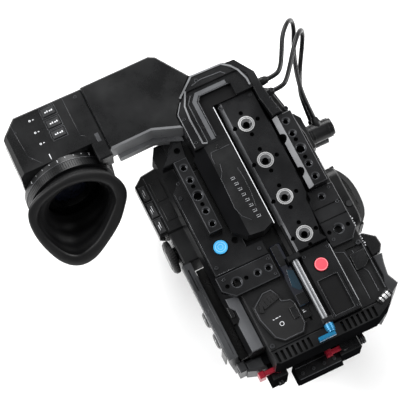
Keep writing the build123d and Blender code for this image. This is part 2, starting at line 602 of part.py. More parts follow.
# ---------------------------------------------------------------- lens mount
FLANGE_FACE = 120.0
THROAT_R = 27.0
MOUNT_R = 37.0
SENSOR_DEPTH = 52.0         # flange to sensor
with BuildPart() as lens_mount:
    with BuildSketch(Plane.XZ.offset(-BODY_FRONT)):
        with Locations((0, LENS_Z)):
            Circle(MOUNT_R)
            Circle(THROAT_R, mode=Mode.SUBTRACT)
    extrude(amount=-(FLANGE_FACE - BODY_FRONT))
    with BuildSketch(Plane.XZ.offset(-BODY_FRONT)):
        with Locations((0, LENS_Z)):
            Circle(MOUNT_OPENING_R)
            Circle(THROAT_R, mode=Mode.SUBTRACT)
    extrude(amount=6)
    with BuildSketch(Plane.XZ.offset(-BODY_FRONT)):
        with Locations((0, LENS_Z)):
            Circle(MOUNT_R + 4)
            Circle(MOUNT_R, mode=Mode.SUBTRACT)
    extrude(amount=-3)
save(lens_mount.part, "lens_mount")
with BuildPart() as lens_lock_ring:
    with BuildSketch(Plane.XZ.offset(-(BODY_FRONT + 3 + FREE_GAP))):
        with Locations((0, LENS_Z)):
            Circle(MOUNT_R + 5)
            with PolarLocations(MOUNT_R + 7, 2, 45):
                RectangleRounded(10, 12, 2)
            Circle(MOUNT_R + FREE_GAP, mode=Mode.SUBTRACT)
    extrude(amount=-10)
save(lens_lock_ring.part, "lens_lock_ring")
save(block((-21, 21), (SENSOR_REAR, FLANGE_FACE - SENSOR_DEPTH), (LENS_Z - 18, LENS_Z + 18), 0.8), "sensor_block")

# ---------------------------------------------------------------- viewfinder mount, spine and arm
MOUNT_FRONT_LEFT = (-24, 136.5)
mount_outline = [(-47.7, 77), (-47.7, 110), (-40, 120), MOUNT_FRONT_LEFT, (5.5, 135), (18, 119),
                 (18, RAIL_FRONT + 0.3), (-18, RAIL_FRONT + 0.3), (-18, 77)]
mount_blank = plate(mount_outline, ARM_BOTTOM, ARM_TOP, 1.2)
outer_recess = plate([(20, 124.5), (-32.5, 124.5), (-38.5, 116), (-38.7, 70), (20, 70)], ARM_TOP - 2, ARM_TOP + 1)
inner_recess = plate([(3, 116.8), (-24.5, 116.8), (-27.7, 112.6), (-27.7, 82), (-22, 79), (3, 79)],
                     ARM_TOP - 5, ARM_TOP + 1)
save(less(mount_blank, outer_recess, inner_recess), "evf_mount")

with BuildPart() as evf_spine:
    with BuildSketch(Plane.XY.offset(PLATE_TOP)):
        with BuildLine():
            Polyline((-47.7, 76.9), (-51, 72), (-50.5, 5.4), (-41.5, -4.4), (-28, -6), (-18.2, -2),
                     (-18.2, 76.9), close=True)
        make_face()
    extrude(amount=ARM_TOP - PLATE_TOP)
    with BuildSketch(Plane.XZ.offset(-80)):
        with BuildLine():
            Polyline((-51.5, PLATE_TOP), (-51.5, 156), (-40, 163), (-19.4, 163), (-18, 161.6),
                     (-18, PLATE_TOP), close=True)
        make_face()
    extrude(amount=100, mode=Mode.INTERSECT)
save(evf_spine.part, "evf_spine")

HINGE_R = 8.0
HINGE_DEPTH = 9.0
arm_outline = [(SEAM_X, 107), (SEAM_X, 165.5), (-47, 166), (-41.6, 163.2), MOUNT_FRONT_LEFT, (-40, 120),
               (-47.7, 110), (-47.7, 98.8), (-71, 107.5)]
arm_blank = plate(arm_outline, ARM_BOTTOM, ARM_TOP, 1.4)
arm_ledge = plate([(-101, 103.5), (-71, 104), (-49, 95), (-49, 112), (-101, 112)], ARM_BOTTOM - 8, ARM_BOTTOM)
arm_bore = along_x(HINGE_R + RUN_FIT, SEAM_X - 1, SEAM_X + HINGE_DEPTH + 0.5, TILT_Y, TILT_Z)
save(less(joined(arm_blank, arm_ledge), arm_bore, body_shell.part, top_cover.part), "evf_arm")

connector_outline = [(6.2, 134.8), (14.6, 134.2), (24.8, 118), (25.1, 104), (27.3, 87.5), (29.5, 77.3), (21, 77.3),
                     (18.3, 95), (18.3, 119.1)]
GLAND_Z = 156.0
GLAND_ROWS = (109.5, 98.5)
GLAND_ROOT = 22.5           # the gland's spigot sits this far into the connector block
GLAND_MOUTH = 33.0
SPIGOT_R = 2.9
gland_bores = [along_x(SPIGOT_R, GLAND_ROOT, 28, y, GLAND_Z) for y in GLAND_ROWS]
save(less(plate(connector_outline, ARM_BOTTOM, ARM_TOP - 2, 0.5), *gland_bores), "connector_block")

# ---------------------------------------------------------------- cables, their glands and plugs
def gland(y):
    """A gland with its spigot, collar and tapered strain relief, along X."""
    with BuildPart() as sleeve:
        add(along_x(SPIGOT_R, GLAND_ROOT, 26.6, y, GLAND_Z))
        add(along_x(3.6, 26.4, 29, y, GLAND_Z))
        with BuildSketch(Plane.YZ.offset(29)):
            with Locations((y, GLAND_Z)):
                Circle(3.3)
        with BuildSketch(Plane.YZ.offset(GLAND_MOUTH)):
            with Locations((y, GLAND_Z)):
                Circle(CABLE_R + 0.4)
        loft()
    return sleeve.part


grouped("cable_glands", [gland(y) for y in GLAND_ROWS])

# route points of the two cables, from gland to plug
PLUG_1_TOP = (61.0, 77.0, 112.5)
PLUG_2_TOP = (60.7, 80.5, 99.5)
cable_1_route = [(GLAND_MOUTH, GLAND_ROWS[0], GLAND_Z), (40, GLAND_ROWS[0], GLAND_Z), (46.2, 112.9, 156),
                 (53, 124, 156), (61, 139, 154.5), (70.5, 149, 150.5), (77.5, 154, 141), (79, 150.5, 128.5),
                 (74.5, 141.5, 120), (69.5, 129.5, 117), (65, 116.5, 117), (62, 103.5, 116.5),
                 (61, 90.5, 114.5), PLUG_1_TOP]
cable_2_route = [(GLAND_MOUTH, GLAND_ROWS[1], GLAND_Z), (39.5, GLAND_ROWS[1], GLAND_Z), (45.5, 101, 156),
                 (54.5, 112, 155.5), (64, 124.5, 154.5), (72.5, 134.5, 151), (80, 141.5, 143.5),
                 (83, 142.5, 131.5), (80, 136.5, 120.5), (74, 127, 113), (68, 116.5, 109),
                 (62.5, 104.5, 107.5), (60.5, 92, 106.5), PLUG_2_TOP]


def bend_radii(route):
    """Each corner's radius: 0.45 of the shorter run beside it over the tangent of half the turn."""
    radii = []
    for before, corner, after in zip(route, route[1:], route[2:]):
        first = Vector(*corner) - Vector(*before)
        second = Vector(*after) - Vector(*corner)
        half_turn = radians(first.get_angle(second) / 2)
        radii.append(0.45 * min(first.length, second.length) / tan(half_turn))
    return radii


def cable(route, name):
    """A round cable along straight runs joined by tangent arcs."""
    radii = bend_radii(route)
    with BuildPart() as tube:
        with BuildLine() as path:
            FilletPolyline(*route, radius=radii)
        centre_line = path.wires()[0]
        with BuildSketch(Plane(centre_line @ 0, z_dir=centre_line % 0)):
            Circle(CABLE_R)
        sweep(path=centre_line)
    expected = pi * CABLE_R ** 2 * centre_line.length
    print(name, "length", round(centre_line.length, 1), "smallest radius", round(min(radii), 1),
          "radii", [round(radius, 1) for radius in radii],
          "volume ratio", round(tube.part.volume / expected, 4))
    save(tube.part, name)


cable(cable_1_route, "cable_1")
cable(cable_2_route, "cable_2")


def plug(top, before, length, radius):
    """A round plug in line with the cable's last run."""
    direction = (Vector(*top) - Vector(*before)).normalized()
    with BuildPart() as body:
        with BuildSketch(Plane(Vector(*top), z_dir=direction)):
            Circle(CABLE_R + 0.8)
        with BuildSketch(Plane(Vector(*top) + direction * 5, z_dir=direction)):
            Circle(radius - 1)
        loft()
        with BuildSketch(Plane(Vector(*top) + direction * 5, z_dir=direction)):
            Circle(radius)
        extrude(amount=length - 5)
    return body.part


# right-angle plug heads, standing on the socket plate
SOCKET_X = 50.0
HEAD_1 = (66.0, 108.0)
head_1 = along_x(8.2, SOCKET_X, 70, *HEAD_1)
head_1_cap = along_x(7.2, 70, 72, *HEAD_1)
save(joined(head_1, head_1_cap, plug(PLUG_1_TOP, cable_1_route[-2], 9, 5.0)), "plug_1")
HEAD_2 = (66.5, 89.5)
head_2 = along_x(6.6, SOCKET_X, 68, *HEAD_2)
save(joined(head_2, plug(PLUG_2_TOP, cable_2_route[-2], 14, 4.2)), "plug_2")
socket_outline = [(38.3, 86), (46, 86), (SOCKET_X, 80), (SOCKET_X, 52), (BODY_RIGHT, 50), (BODY_RIGHT, 60)]
save(less(plate(socket_outline, 76, 120, 0.8), body_shell.part), "socket_plate")

# ---------------------------------------------------------------- right side covers
side_cover_outline = [(BODY_RIGHT, -55.2), (52.6, -55.2), (50.5, -62), (48.5, -73), (52.5, -82.5), (44, -88.5),
                      (BODY_RIGHT - 4, BODY_REAR), (BODY_RIGHT, BODY_REAR + 12)]
save(plate(side_cover_outline, 40, 134, 1), "rear_side_cover")
side_block_outline = [(BODY_RIGHT, -33), (47, -34), (55, -40.5), (55.7, -48), (52.3, -53.3), (BODY_RIGHT, -54.8)]
save(plate(side_block_outline, 104, 133, 1.0), "side_block")

# ---------------------------------------------------------------- hand grip with its strap and button
GRIP_RIGHT = 52.5
with BuildPart() as grip_body:
    with BuildSketch(Plane.YZ.offset(BODY_RIGHT + FREE_GAP)):
        with Locations((GRIP_Y, GRIP_Z)):
            RectangleRounded(54, 44, 12)
    extrude(amount=GRIP_RIGHT - BODY_RIGHT - FREE_GAP)
    chamfer(grip_body.faces().sort_by(Axis.X)[-1].outer_wire().edges(), 1.5)
    add(along_x(14.5, BODY_RIGHT - 2.7, BODY_RIGHT + FREE_GAP, GRIP_Y, GRIP_Z))
    add(along_x(5, BODY_RIGHT - 6.5, BODY_RIGHT - 2.7, GRIP_Y, GRIP_Z))
    with BuildSketch(Plane.XY.offset(GRIP_Z + 22)):
        with Locations((48.4, GRIP_Y - 10)):
            Circle(2.6 + FREE_GAP)
    extrude(amount=-4, mode=Mode.SUBTRACT)
save(grip_body.part, "grip_body")
save(along_z(2.6, GRIP_Z + 19.2, GRIP_Z + 23, 48.4, GRIP_Y - 10), "grip_button")

STRAP_LOW = GRIP_Z - 10
STRAP_HIGH = GRIP_Z + 10
STRAP_FRONT = 29.0
STRAP_REAR = -23.0
with BuildPart() as grip_strap:
    with BuildSketch(Plane.XY.offset(STRAP_LOW)):
        with BuildLine():
            Spline((GRIP_RIGHT, STRAP_FRONT), (60.5, 15.9), (62.1, -1.6), (59.4, -15), (GRIP_RIGHT, STRAP_REAR))
            Line((GRIP_RIGHT, STRAP_REAR), (GRIP_RIGHT, STRAP_REAR + 5))
            Spline((GRIP_RIGHT, STRAP_REAR + 5), (57, -11.2), (58.2, 0.8), (56.8, 14.2),
                   (GRIP_RIGHT, STRAP_FRONT - 6))
            Line((GRIP_RIGHT, STRAP_FRONT - 6), (GRIP_RIGHT, STRAP_FRONT))
        make_face()
    extrude(amount=STRAP_HIGH - STRAP_LOW)
save(grip_strap.part, "grip_strap")

# ---------------------------------------------------------------- viewfinder
def eyepiece_plane(distance, tilt=EYE_TILT):
    """A plane across the eyepiece axis, at a distance behind the diopter ring's front face."""
    lean = radians(EYE_TILT)
    centre = (EYE_X, EYE_Y - distance * cos(lean), EYE_Z + distance * sin(lean))
    facing = (0, -cos(radians(tilt)), sin(radians(tilt)))
    return Plane(centre, x_dir=(1, 0, 0), z_dir=facing)


FINDER_RIGHT = SEAM_X - FREE_GAP
BARREL_R = 33.0
RING_R = 36.5
THROAT_EYE_R = 26.0
FINDER_KEY_X = -138.5
FINDER_KEY_ROWS = (157.5, 147.0, 137.0)
finder_outline = [(-181, 95), (-180, 152), (-166, 165), (FINDER_RIGHT, 164.5), (FINDER_RIGHT, 95)]
with BuildPart() as evf_housing:
    add(plate(finder_outline, 104, ARM_TOP, 1.4))
    # the left side tapers in below its upper band
    with BuildSketch(Plane.XZ.offset(-166)):
        with BuildLine():
            Polyline((-177, ARM_TOP), (-181, ARM_TOP - 5), (-181, 143), (-165, 119), (-157, 104), (FINDER_RIGHT, 104),
                     (FINDER_RIGHT, ARM_TOP), close=True)
        make_face()
    extrude(amount=80, mode=Mode.INTERSECT)
    # cut back to the diopter ring's plane
    with BuildSketch(eyepiece_plane(0)):
        Rectangle(120, 120)
    extrude(amount=60, mode=Mode.SUBTRACT)
    # the corner beside the arm runs further back, clear of the ring
    add(block((-119, FINDER_RIGHT), (102, 125), (ARM_BOTTOM, ARM_TOP), 1.2))
    with BuildSketch(eyepiece_plane(0)):
        Circle(RING_R + 0.8)
    extrude(amount=40, mode=Mode.SUBTRACT)
    with BuildSketch(eyepiece_plane(0)):
        Circle(BARREL_R)
    extrude(amount=-14)
    add(along_x(HINGE_R, FINDER_RIGHT, SEAM_X + HINGE_DEPTH, TILT_Y, TILT_Z))
    # eyepiece throat
    with BuildSketch(eyepiece_plane(0)):
        Circle(THROAT_EYE_R)
    extrude(amount=-8, mode=Mode.SUBTRACT)
    for y in FINDER_KEY_ROWS:
        with BuildSketch(Plane.XY.offset(ARM_TOP)):
            with Locations((FINDER_KEY_X, y)):
                Rectangle(11.6, 7.6)
        extrude(amount=-3, mode=Mode.SUBTRACT)
save(evf_housing.part, "evf_housing")
for number, y in enumerate(FINDER_KEY_ROWS, start=1):
    key = block((FINDER_KEY_X - 5.5, FINDER_KEY_X + 5.5), (y - 3.5, y + 3.5), (ARM_TOP - 1.8, ARM_TOP + 1.0), 0.5)
    save(key, "evf_key_" + str(number))

with BuildPart() as evf_lens:
    with BuildSketch(eyepiece_plane(-7)):
        Circle(THROAT_EYE_R - 0.2)
    extrude(amount=4)
save(evf_lens.part, "evf_lens")

RING_LENGTH = 13.0
with BuildPart() as diopter_ring:
    with BuildSketch(eyepiece_plane(FREE_GAP)):
        Circle(RING_R)
        Circle(THROAT_EYE_R, mode=Mode.SUBTRACT)
    extrude(amount=RING_LENGTH - FREE_GAP)
save(diopter_ring.part, "diopter_ring")

CUP_START = RING_LENGTH + FREE_GAP
CUP_END = 46.0


# rim of the cup, egg-shaped and swept up to the left, in its own plane
outer_rim = [(33.5, 5), (37, 12.5), (37.6, 20), (34.7, 29.6), (27.7, 40), (13, 47.4), (-3.4, 49.6), (-21.3, 47.2),
             (-35, 41.6), (-41.3, 34), (-43.3, 21), (-40.5, 2), (-32, -19.2), (-20.3, -30.5), (-6.3, -31.2),
             (9.1, -22), (23.8, -9.2)]
inner_rim = [(23.5, 6), (27, 13.7), (25.8, 26.3), (16, 36.4), (2.4, 41.6), (-13, 41.8), (-27.6, 36.6),
             (-34.7, 28.4), (-36.2, 19), (-33.2, 3), (-25, -13.7), (-15.3, -21), (-1.9, -18), (9.6, -9.7)]


def cup_loft(neck_radius, rim, start, end):
    """A flared solid from a round neck to a rim outline."""
    with BuildPart() as flare:
        with BuildSketch(eyepiece_plane(start)):
            Circle(neck_radius)
        with BuildSketch(eyepiece_plane(end, CUP_TILT)):
            with BuildLine():
                Spline(*rim, periodic=True)
            make_face()
        loft()
    return flare.part


cup_outside = cup_loft(34.0, outer_rim, CUP_START, CUP_END)
cup_inside = cup_loft(THROAT_EYE_R, inner_rim, CUP_START - 0.5, CUP_END + 0.5)
save(less(cup_outside, cup_inside), "eyecup")


# ---------------------------------------------------------------- socket screws
def socket_screw(x, y, head_bottom, head_r=2.0, height=1.4):
    """A socket head cap screw standing on a face."""
    with BuildPart() as screw:
        with BuildSketch(Plane.XY.offset(head_bottom)):
            with Locations((x, y)):
                Circle(head_r)
        extrude(amount=height)
        chamfer(screw.edges().group_by(Axis.Z)[-1], 0.3)
        with BuildSketch(Plane.XY.offset(head_bottom + height)):
            with Locations((x, y)):
                RegularPolygon(head_r * 0.5, 6)
        extrude(amount=-height * 0.7, mode=Mode.SUBTRACT)
    return screw.part


wedge_screws = [socket_screw(x, -108.5, WEDGE_TOP, 1.5, 0.9) for x in (-43, -33.5, -24, -15)]
cover_screws = [socket_screw(x, y, COVER_TOP) for x, y in ((-61.5, -88), (37, -88), (37, -42), (37, 84), (-57, 94.6))]
bracket_screws = [socket_screw(x, y, PLATE_TOP, 1.7, 1.0) for x, y in ((-73.5, 50), (-73.5, -14), (-36, -14))]
grouped("socket_screws", wedge_screws + cover_screws + bracket_screws)
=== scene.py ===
import json
from math import atan2, cos, pi, radians, sin

import bmesh
import bpy
from mathutils import Matrix, Vector


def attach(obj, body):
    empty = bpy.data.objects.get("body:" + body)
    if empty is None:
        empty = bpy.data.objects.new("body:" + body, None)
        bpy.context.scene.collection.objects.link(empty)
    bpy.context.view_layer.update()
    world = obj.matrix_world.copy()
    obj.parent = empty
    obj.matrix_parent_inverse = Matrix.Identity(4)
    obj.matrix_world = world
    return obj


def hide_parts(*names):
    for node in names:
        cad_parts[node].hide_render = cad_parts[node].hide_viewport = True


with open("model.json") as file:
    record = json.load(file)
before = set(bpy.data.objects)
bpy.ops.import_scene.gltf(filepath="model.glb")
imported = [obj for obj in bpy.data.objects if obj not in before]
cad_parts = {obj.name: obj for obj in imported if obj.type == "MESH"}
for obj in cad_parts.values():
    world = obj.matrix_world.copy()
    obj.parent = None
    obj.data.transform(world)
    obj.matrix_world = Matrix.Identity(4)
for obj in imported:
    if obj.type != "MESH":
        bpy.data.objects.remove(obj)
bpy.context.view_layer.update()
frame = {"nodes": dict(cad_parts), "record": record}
record = frame["record"]
MM = 0.001


def mm(*values):
    """A point given in millimetres, in metres."""
    return Vector(values) * MM


# ---------------------------------------------------------------- camera
AZIMUTH = radians(-26)
ELEVATION = radians(71)
CAMERA_AT = (-0.27463, -0.39728, 1.57074)
back = Vector((sin(AZIMUTH) * cos(ELEVATION), -cos(AZIMUTH) * cos(ELEVATION), sin(ELEVATION)))
right = Vector((cos(AZIMUTH), sin(AZIMUTH), 0))
up = back.cross(right)
lens = bpy.data.cameras.new("camera")
lens.sensor_width = 36
lens.lens = 171.1
lens.clip_start = 0.01
lens.dof.use_dof = False
camera = bpy.data.objects.new("camera", lens)
turn = Matrix((right, up, back)).transposed().to_4x4()
camera.matrix_world = Matrix.Translation(CAMERA_AT) @ turn
bpy.context.scene.collection.objects.link(camera)
bpy.context.scene.camera = camera


# ---------------------------------------------------------------- materials
def finish(name, color, rough, metal=0.0, variation=0.25, grain=900.0, bump=0.08, coat=0.0,
           spread=0.12, spec=0.5):
    """A procedural finish: broad colour and gloss variation with a fine grain."""
    material = bpy.data.materials.new(name)
    material.use_nodes = True
    nodes = material.node_tree.nodes
    links = material.node_tree.links
    shader = nodes["Principled BSDF"]
    place = nodes.new("ShaderNodeTexCoord")
    broad = nodes.new("ShaderNodeTexNoise")
    broad.inputs["Scale"].default_value = 38.0
    broad.inputs["Detail"].default_value = 5.0
    fine = nodes.new("ShaderNodeTexNoise")
    fine.inputs["Scale"].default_value = grain
    fine.inputs["Detail"].default_value = 2.0
    links.new(place.outputs["Object"], broad.inputs["Vector"])
    links.new(place.outputs["Object"], fine.inputs["Vector"])
    ramp = nodes.new("ShaderNodeValToRGB")
    ramp.color_ramp.elements[0].position = 0.3
    ramp.color_ramp.elements[1].position = 0.72
    ramp.color_ramp.elements[0].color = [c * (1 - variation) for c in color] + [1]
    ramp.color_ramp.elements[1].color = [min(1, c * (1 + variation)) for c in color] + [1]
    links.new(broad.outputs["Fac"], ramp.inputs["Fac"])
    links.new(ramp.outputs["Color"], shader.inputs["Base Color"])
    gloss = nodes.new("ShaderNodeMapRange")
    gloss.inputs["To Min"].default_value = max(0.03, rough - spread)
    gloss.inputs["To Max"].default_value = min(1.0, rough + spread)
    mixed = nodes.new("ShaderNodeMath")
    mixed.operation = "MULTIPLY_ADD"
    mixed.inputs[1].default_value = 0.4
    links.new(fine.outputs["Fac"], mixed.inputs[0])
    links.new(broad.outputs["Fac"], mixed.inputs[2])
    gloss.inputs["From Min"].default_value = 0.45
    gloss.inputs["From Max"].default_value = 0.95
    links.new(mixed.outputs[0], gloss.inputs["Value"])
    links.new(gloss.outputs["Result"], shader.inputs["Roughness"])
    relief = nodes.new("ShaderNodeBump")
    relief.inputs["Strength"].default_value = bump
    relief.inputs["Distance"].default_value = 0.0002
    links.new(fine.outputs["Fac"], relief.inputs["Height"])
    links.new(relief.outputs["Normal"], shader.inputs["Normal"])
    shader.inputs["Metallic"].default_value = metal
    shader.inputs["Specular IOR Level"].default_value = spec
    shader.inputs["Coat Weight"].default_value = coat
    shader.inputs["Coat Roughness"].default_value = 0.12
    return material


BODY = finish("body_black", (0.0050, 0.0052, 0.0056), 0.33, bump=0.14, grain=1500, spec=0.30)
SATIN = finish("satin_black", (0.0042, 0.0044, 0.0048), 0.30, bump=0.05, spec=0.35)
ALLOY = finish("anodised_alloy", (0.0050, 0.0052, 0.0058), 0.28, 0.1, bump=0.06, grain=1800, spec=0.36)
GREY = finish("grey_paint", (0.066, 0.068, 0.073), 0.42, bump=0.14, grain=1500)
DOOR = finish("door_paint", (0.024, 0.025, 0.027), 0.40, bump=0.14, grain=1500, spec=0.35)
# pale finish: printed ticks, and painted highlight on edges and faces that catch the light
PRINT_AND_HIGHLIGHT = finish("pale_print_and_painted_highlight", (0.26, 0.265, 0.275), 0.38, 0.3, bump=0.06)
STEEL = finish("bright_steel", (0.80, 0.805, 0.81), 0.24, 0.84, variation=0.12, bump=0.03)
CHROME = finish("chrome_bar", (0.13, 0.134, 0.14), 0.46, 1.0, variation=0.15, bump=0.0, spread=0.03)
TURNED = finish("turned_steel", (0.40, 0.405, 0.415), 0.15, 1.0, variation=0.10, bump=0.02, spread=0.03)
MOUNT = finish("mount_steel", (0.46, 0.465, 0.475), 0.30, 1.0, variation=0.08, bump=0.03)
RED = finish("red_plastic", (0.70, 0.055, 0.080), 0.34, variation=0.08, coat=0.4)
CRIMSON = finish("crimson_lever", (0.34, 0.012, 0.030), 0.30, 0.35, variation=0.15, bump=0.04)
BLUE = finish("blue_plastic", (0.05, 0.33, 0.62), 0.30, variation=0.08, coat=0.4)
TEAL = finish("blue_lever", (0.006, 0.13, 0.26), 0.28, 0.35, variation=0.15, bump=0.04)
KEY = finish("key_plastic", (0.010, 0.0105, 0.0115), 0.42, bump=0.12)
GLOSS = finish("dark_gloss", (0.004, 0.005, 0.010), 0.10, bump=0.0, coat=1.0, spread=0.04)
RUBBER = finish("soft_rubber", (0.0032, 0.0032, 0.0035), 0.50, bump=0.25, grain=1300, spec=0.26)
CABLE = finish("cable_rubber", (0.0035, 0.0037, 0.0042), 0.30, bump=0.10, spec=0.26)
STRAP = finish("strap_leather", (0.006, 0.006, 0.0064), 0.50, bump=0.7, grain=620)
SCREW = finish("screw_steel", (0.07, 0.072, 0.077), 0.28, 0.9, bump=0.03)
# white print marks; also bright strips of painted highlight
MARK_AND_HIGHLIGHT = finish("mark_paint_and_painted_highlight", (0.62, 0.63, 0.65), 0.5, variation=0.1)
BRASS = finish("gold_contact", (0.72, 0.50, 0.18), 0.25, 1.0, variation=0.1, bump=0.02)
GLASS = finish("coated_glass", (0.010, 0.013, 0.030), 0.06, variation=0.3, bump=0.0, coat=1.0, spread=0.03)

# lighter finish for bevels and thin lines: painted edge highlight
EDGE_HIGHLIGHT = finish("painted_edge_highlight", (0.070, 0.072, 0.077), 0.28, 0.35, variation=0.45, bump=0.02)
# faint painted sheen on bevels and rims; also seams and stitching
SHEEN = finish("painted_sheen_and_seams", (0.030, 0.031, 0.034), 0.30, variation=0.4, bump=0.02)
# grey bevels and ledge tops: painted highlight
RIDGE_HIGHLIGHT = finish("painted_ridge_highlight", (0.13, 0.133, 0.14), 0.34, 0.3, variation=0.3, bump=0.04)
# near-black for recesses, bores and gaps: painted shade
DEEP_SHADE = finish("painted_deep_shade", (0.0025, 0.0025, 0.0028), 0.6, variation=0.2, bump=0.02, spec=0.12)
# dark finish with no reflection, for faces that should look unlit: painted shade
MATTE_SHADE = finish("painted_matte_shade", (0.0045, 0.0046, 0.005), 0.55, bump=0.2, grain=1400, spec=0.0)
# pale grey bevel strips: painted highlight
BEVEL_HIGHLIGHT = finish("painted_bevel_highlight", (0.155, 0.158, 0.165), 0.36, 0.25, variation=0.3, bump=0.05)
# dark window tinted blue: painted blue reflection
REFLECTION_TINT = finish("window_painted_blue_reflection", (0.003, 0.020, 0.034), 0.12, variation=0.3, bump=0.0, coat=0.8, spread=0.03)
# paler copies of the button colours for their rings and rims: painted highlight
BLUE_RING_HIGHLIGHT = finish("blue_ring_painted_highlight", (0.20, 0.50, 0.75), 0.35, variation=0.1)
RED_RIM_HIGHLIGHT = finish("red_rim_painted_highlight", (0.75, 0.22, 0.25), 0.35, variation=0.1)

LOOKS = {
    "shell_plastic": BODY, "body_paint": BODY, "grey_paint": GREY, "dark_alloy": ALLOY,
    "bright_steel": STEEL, "chrome_bar": CHROME, "red_plastic": RED, "red_lever": CRIMSON,
    "blue_plastic": BLUE, "blue_lever": TEAL, "key_plastic": KEY, "dark_gloss": GLOSS,
    "soft_rubber": RUBBER, "cable_rubber": CABLE, "strap_leather": STRAP, "eye_glass": GLASS,
    "screw_steel": SCREW,
}
slots = {part["node"]: part["material_slot"] for part in record["subparts"]}
# each slot's bevels get a lighter finish: painted edge highlight (bright steel on screws)
EDGES = {
    "dark_alloy": EDGE_HIGHLIGHT, "body_paint": RIDGE_HIGHLIGHT, "shell_plastic": SHEEN, "grey_paint": EDGE_HIGHLIGHT,
    "key_plastic": EDGE_HIGHLIGHT, "soft_rubber": EDGE_HIGHLIGHT, "screw_steel": STEEL, "dark_gloss": SHEEN,
    "strap_leather": SHEEN,
}
# nodes that get no bevel and so no painted edge highlight: replaced by a finer mesh, round, or too small
# for one
SHARP = ("cable_1", "cable_2", "cable_glands", "eyecup", "evf_lens", "socket_screws")
EDGE_WIDTH = 0.45 * MM
WIDE_EDGE = 0.8 * MM
WIDE_EDGED = ("evf_arm", "evf_housing", "evf_mount")
EDGE_ANGLE = radians(38)
for name, node in frame["nodes"].items():
    node.data.materials.clear()
    node.data.materials.append(LOOKS[slots[name]])
    if name == "lock_rod":
        node.data.shade_smooth()
        node.data.set_sharp_from_angle(angle=EDGE_ANGLE)
    elif name not in SHARP:
        edge = node.modifiers.new("edge", "BEVEL")
        edge.width = WIDE_EDGE if name in WIDE_EDGED else EDGE_WIDTH
        if slots[name] in EDGES:
            node.data.materials.append(EDGES[slots[name]])
            edge.material = 1
        edge.segments = 2
        edge.limit_method = "ANGLE"
        edge.angle_limit = EDGE_ANGLE
        edge.harden_normals = True
        node.data.shade_smooth()


def paint(name, material, chosen):
    """Give the faces of a node another finish where chosen(normal, centre in millimetres) says so."""
    node = frame["nodes"][name]
    node.data.materials.append(material)
    index = len(node.data.materials) - 1
    place = node.matrix_world
    for face in node.data.polygons:
        if chosen(place.to_3x3() @ face.normal, place @ face.center / MM):
            face.material_index = index


bpy.context.view_layer.update()
# the rail's upper left bevel gets a pale strip of painted highlight
paint("dovetail_rail", BEVEL_HIGHLIGHT, lambda n, c: n.x < -0.6 and 0.2 < n.z < 0.8 and c.z > 151)
# the rail's lower left slope is painted shade
paint("dovetail_rail", DEEP_SHADE, lambda n, c: -0.6 < n.x < -0.3 and n.z > 0.85)
# the right bar's left bevel gets a pale strip of painted highlight
paint("right_cheese_bar", BEVEL_HIGHLIGHT, lambda n, c: n.x < -0.5 and 0.5 < n.z < 0.9 and c.z > 155 and c.x < 25.5)
# the arm's rear faces get a pale finish: painted highlight
paint("evf_arm", PRINT_AND_HIGHLIGHT, lambda n, c: n.y < -0.5 and c.y < 116)
# the arm's low ledge tops get a grey finish: painted highlight
paint("evf_arm", RIDGE_HIGHLIGHT, lambda n, c: n.z > 0.9 and c.z < 147)
# the bezel's rear-facing faces are painted shade
paint("rear_bezel", MATTE_SHADE, lambda n, c: n.y < -0.3)
# the sides and undersides of the wedge, clamps and rear plate are painted shade
for name in ("accessory_wedge", "rear_clamps", "rear_plate"):
    paint(name, MATTE_SHADE, lambda n, c: n.z < 0.6)
for name in ("side_door", "rear_corner_block", "rear_side_cover"):
    frame["nodes"][name].data.materials[0] = DOOR
frame["nodes"]["lens_mount"].data.materials[0] = MOUNT
paint("rail_bushings", TURNED, lambda n, c: 0.15 < n.z < 0.96)
# the bushing bores and the floors below their rims are painted shade
paint("rail_bushings", DEEP_SHADE, lambda n, c: abs(n.z) < 0.15 or c.z < 157 and n.z > 0.96)
paint("clamp_lever_right", ALLOY, lambda n, c: c.x > -8.5)
# the spine's upper-left bevel is painted shade
paint("evf_spine", MATTE_SHADE, lambda n, c: n.x < -0.3 and n.z > 0.3)
# the mount's low recess floors are painted shade
paint("evf_mount", DEEP_SHADE, lambda n, c: n.z > 0.9 and c.z < 161)
# upward-slanting bevels and countersinks of the plates get painted sheen
for name in ("left_cheese_bar", "right_cheese_bar", "cross_cheese_plate", "right_top_plate"):
    paint(name, SHEEN, lambda n, c: 0.3 < n.z < 0.95 and c.z > 148.5 and not 20 < c.x < 25.5)

# ---------------------------------------------------------------- small-piece builder
SMALL_EDGE_ANGLE = radians(35)


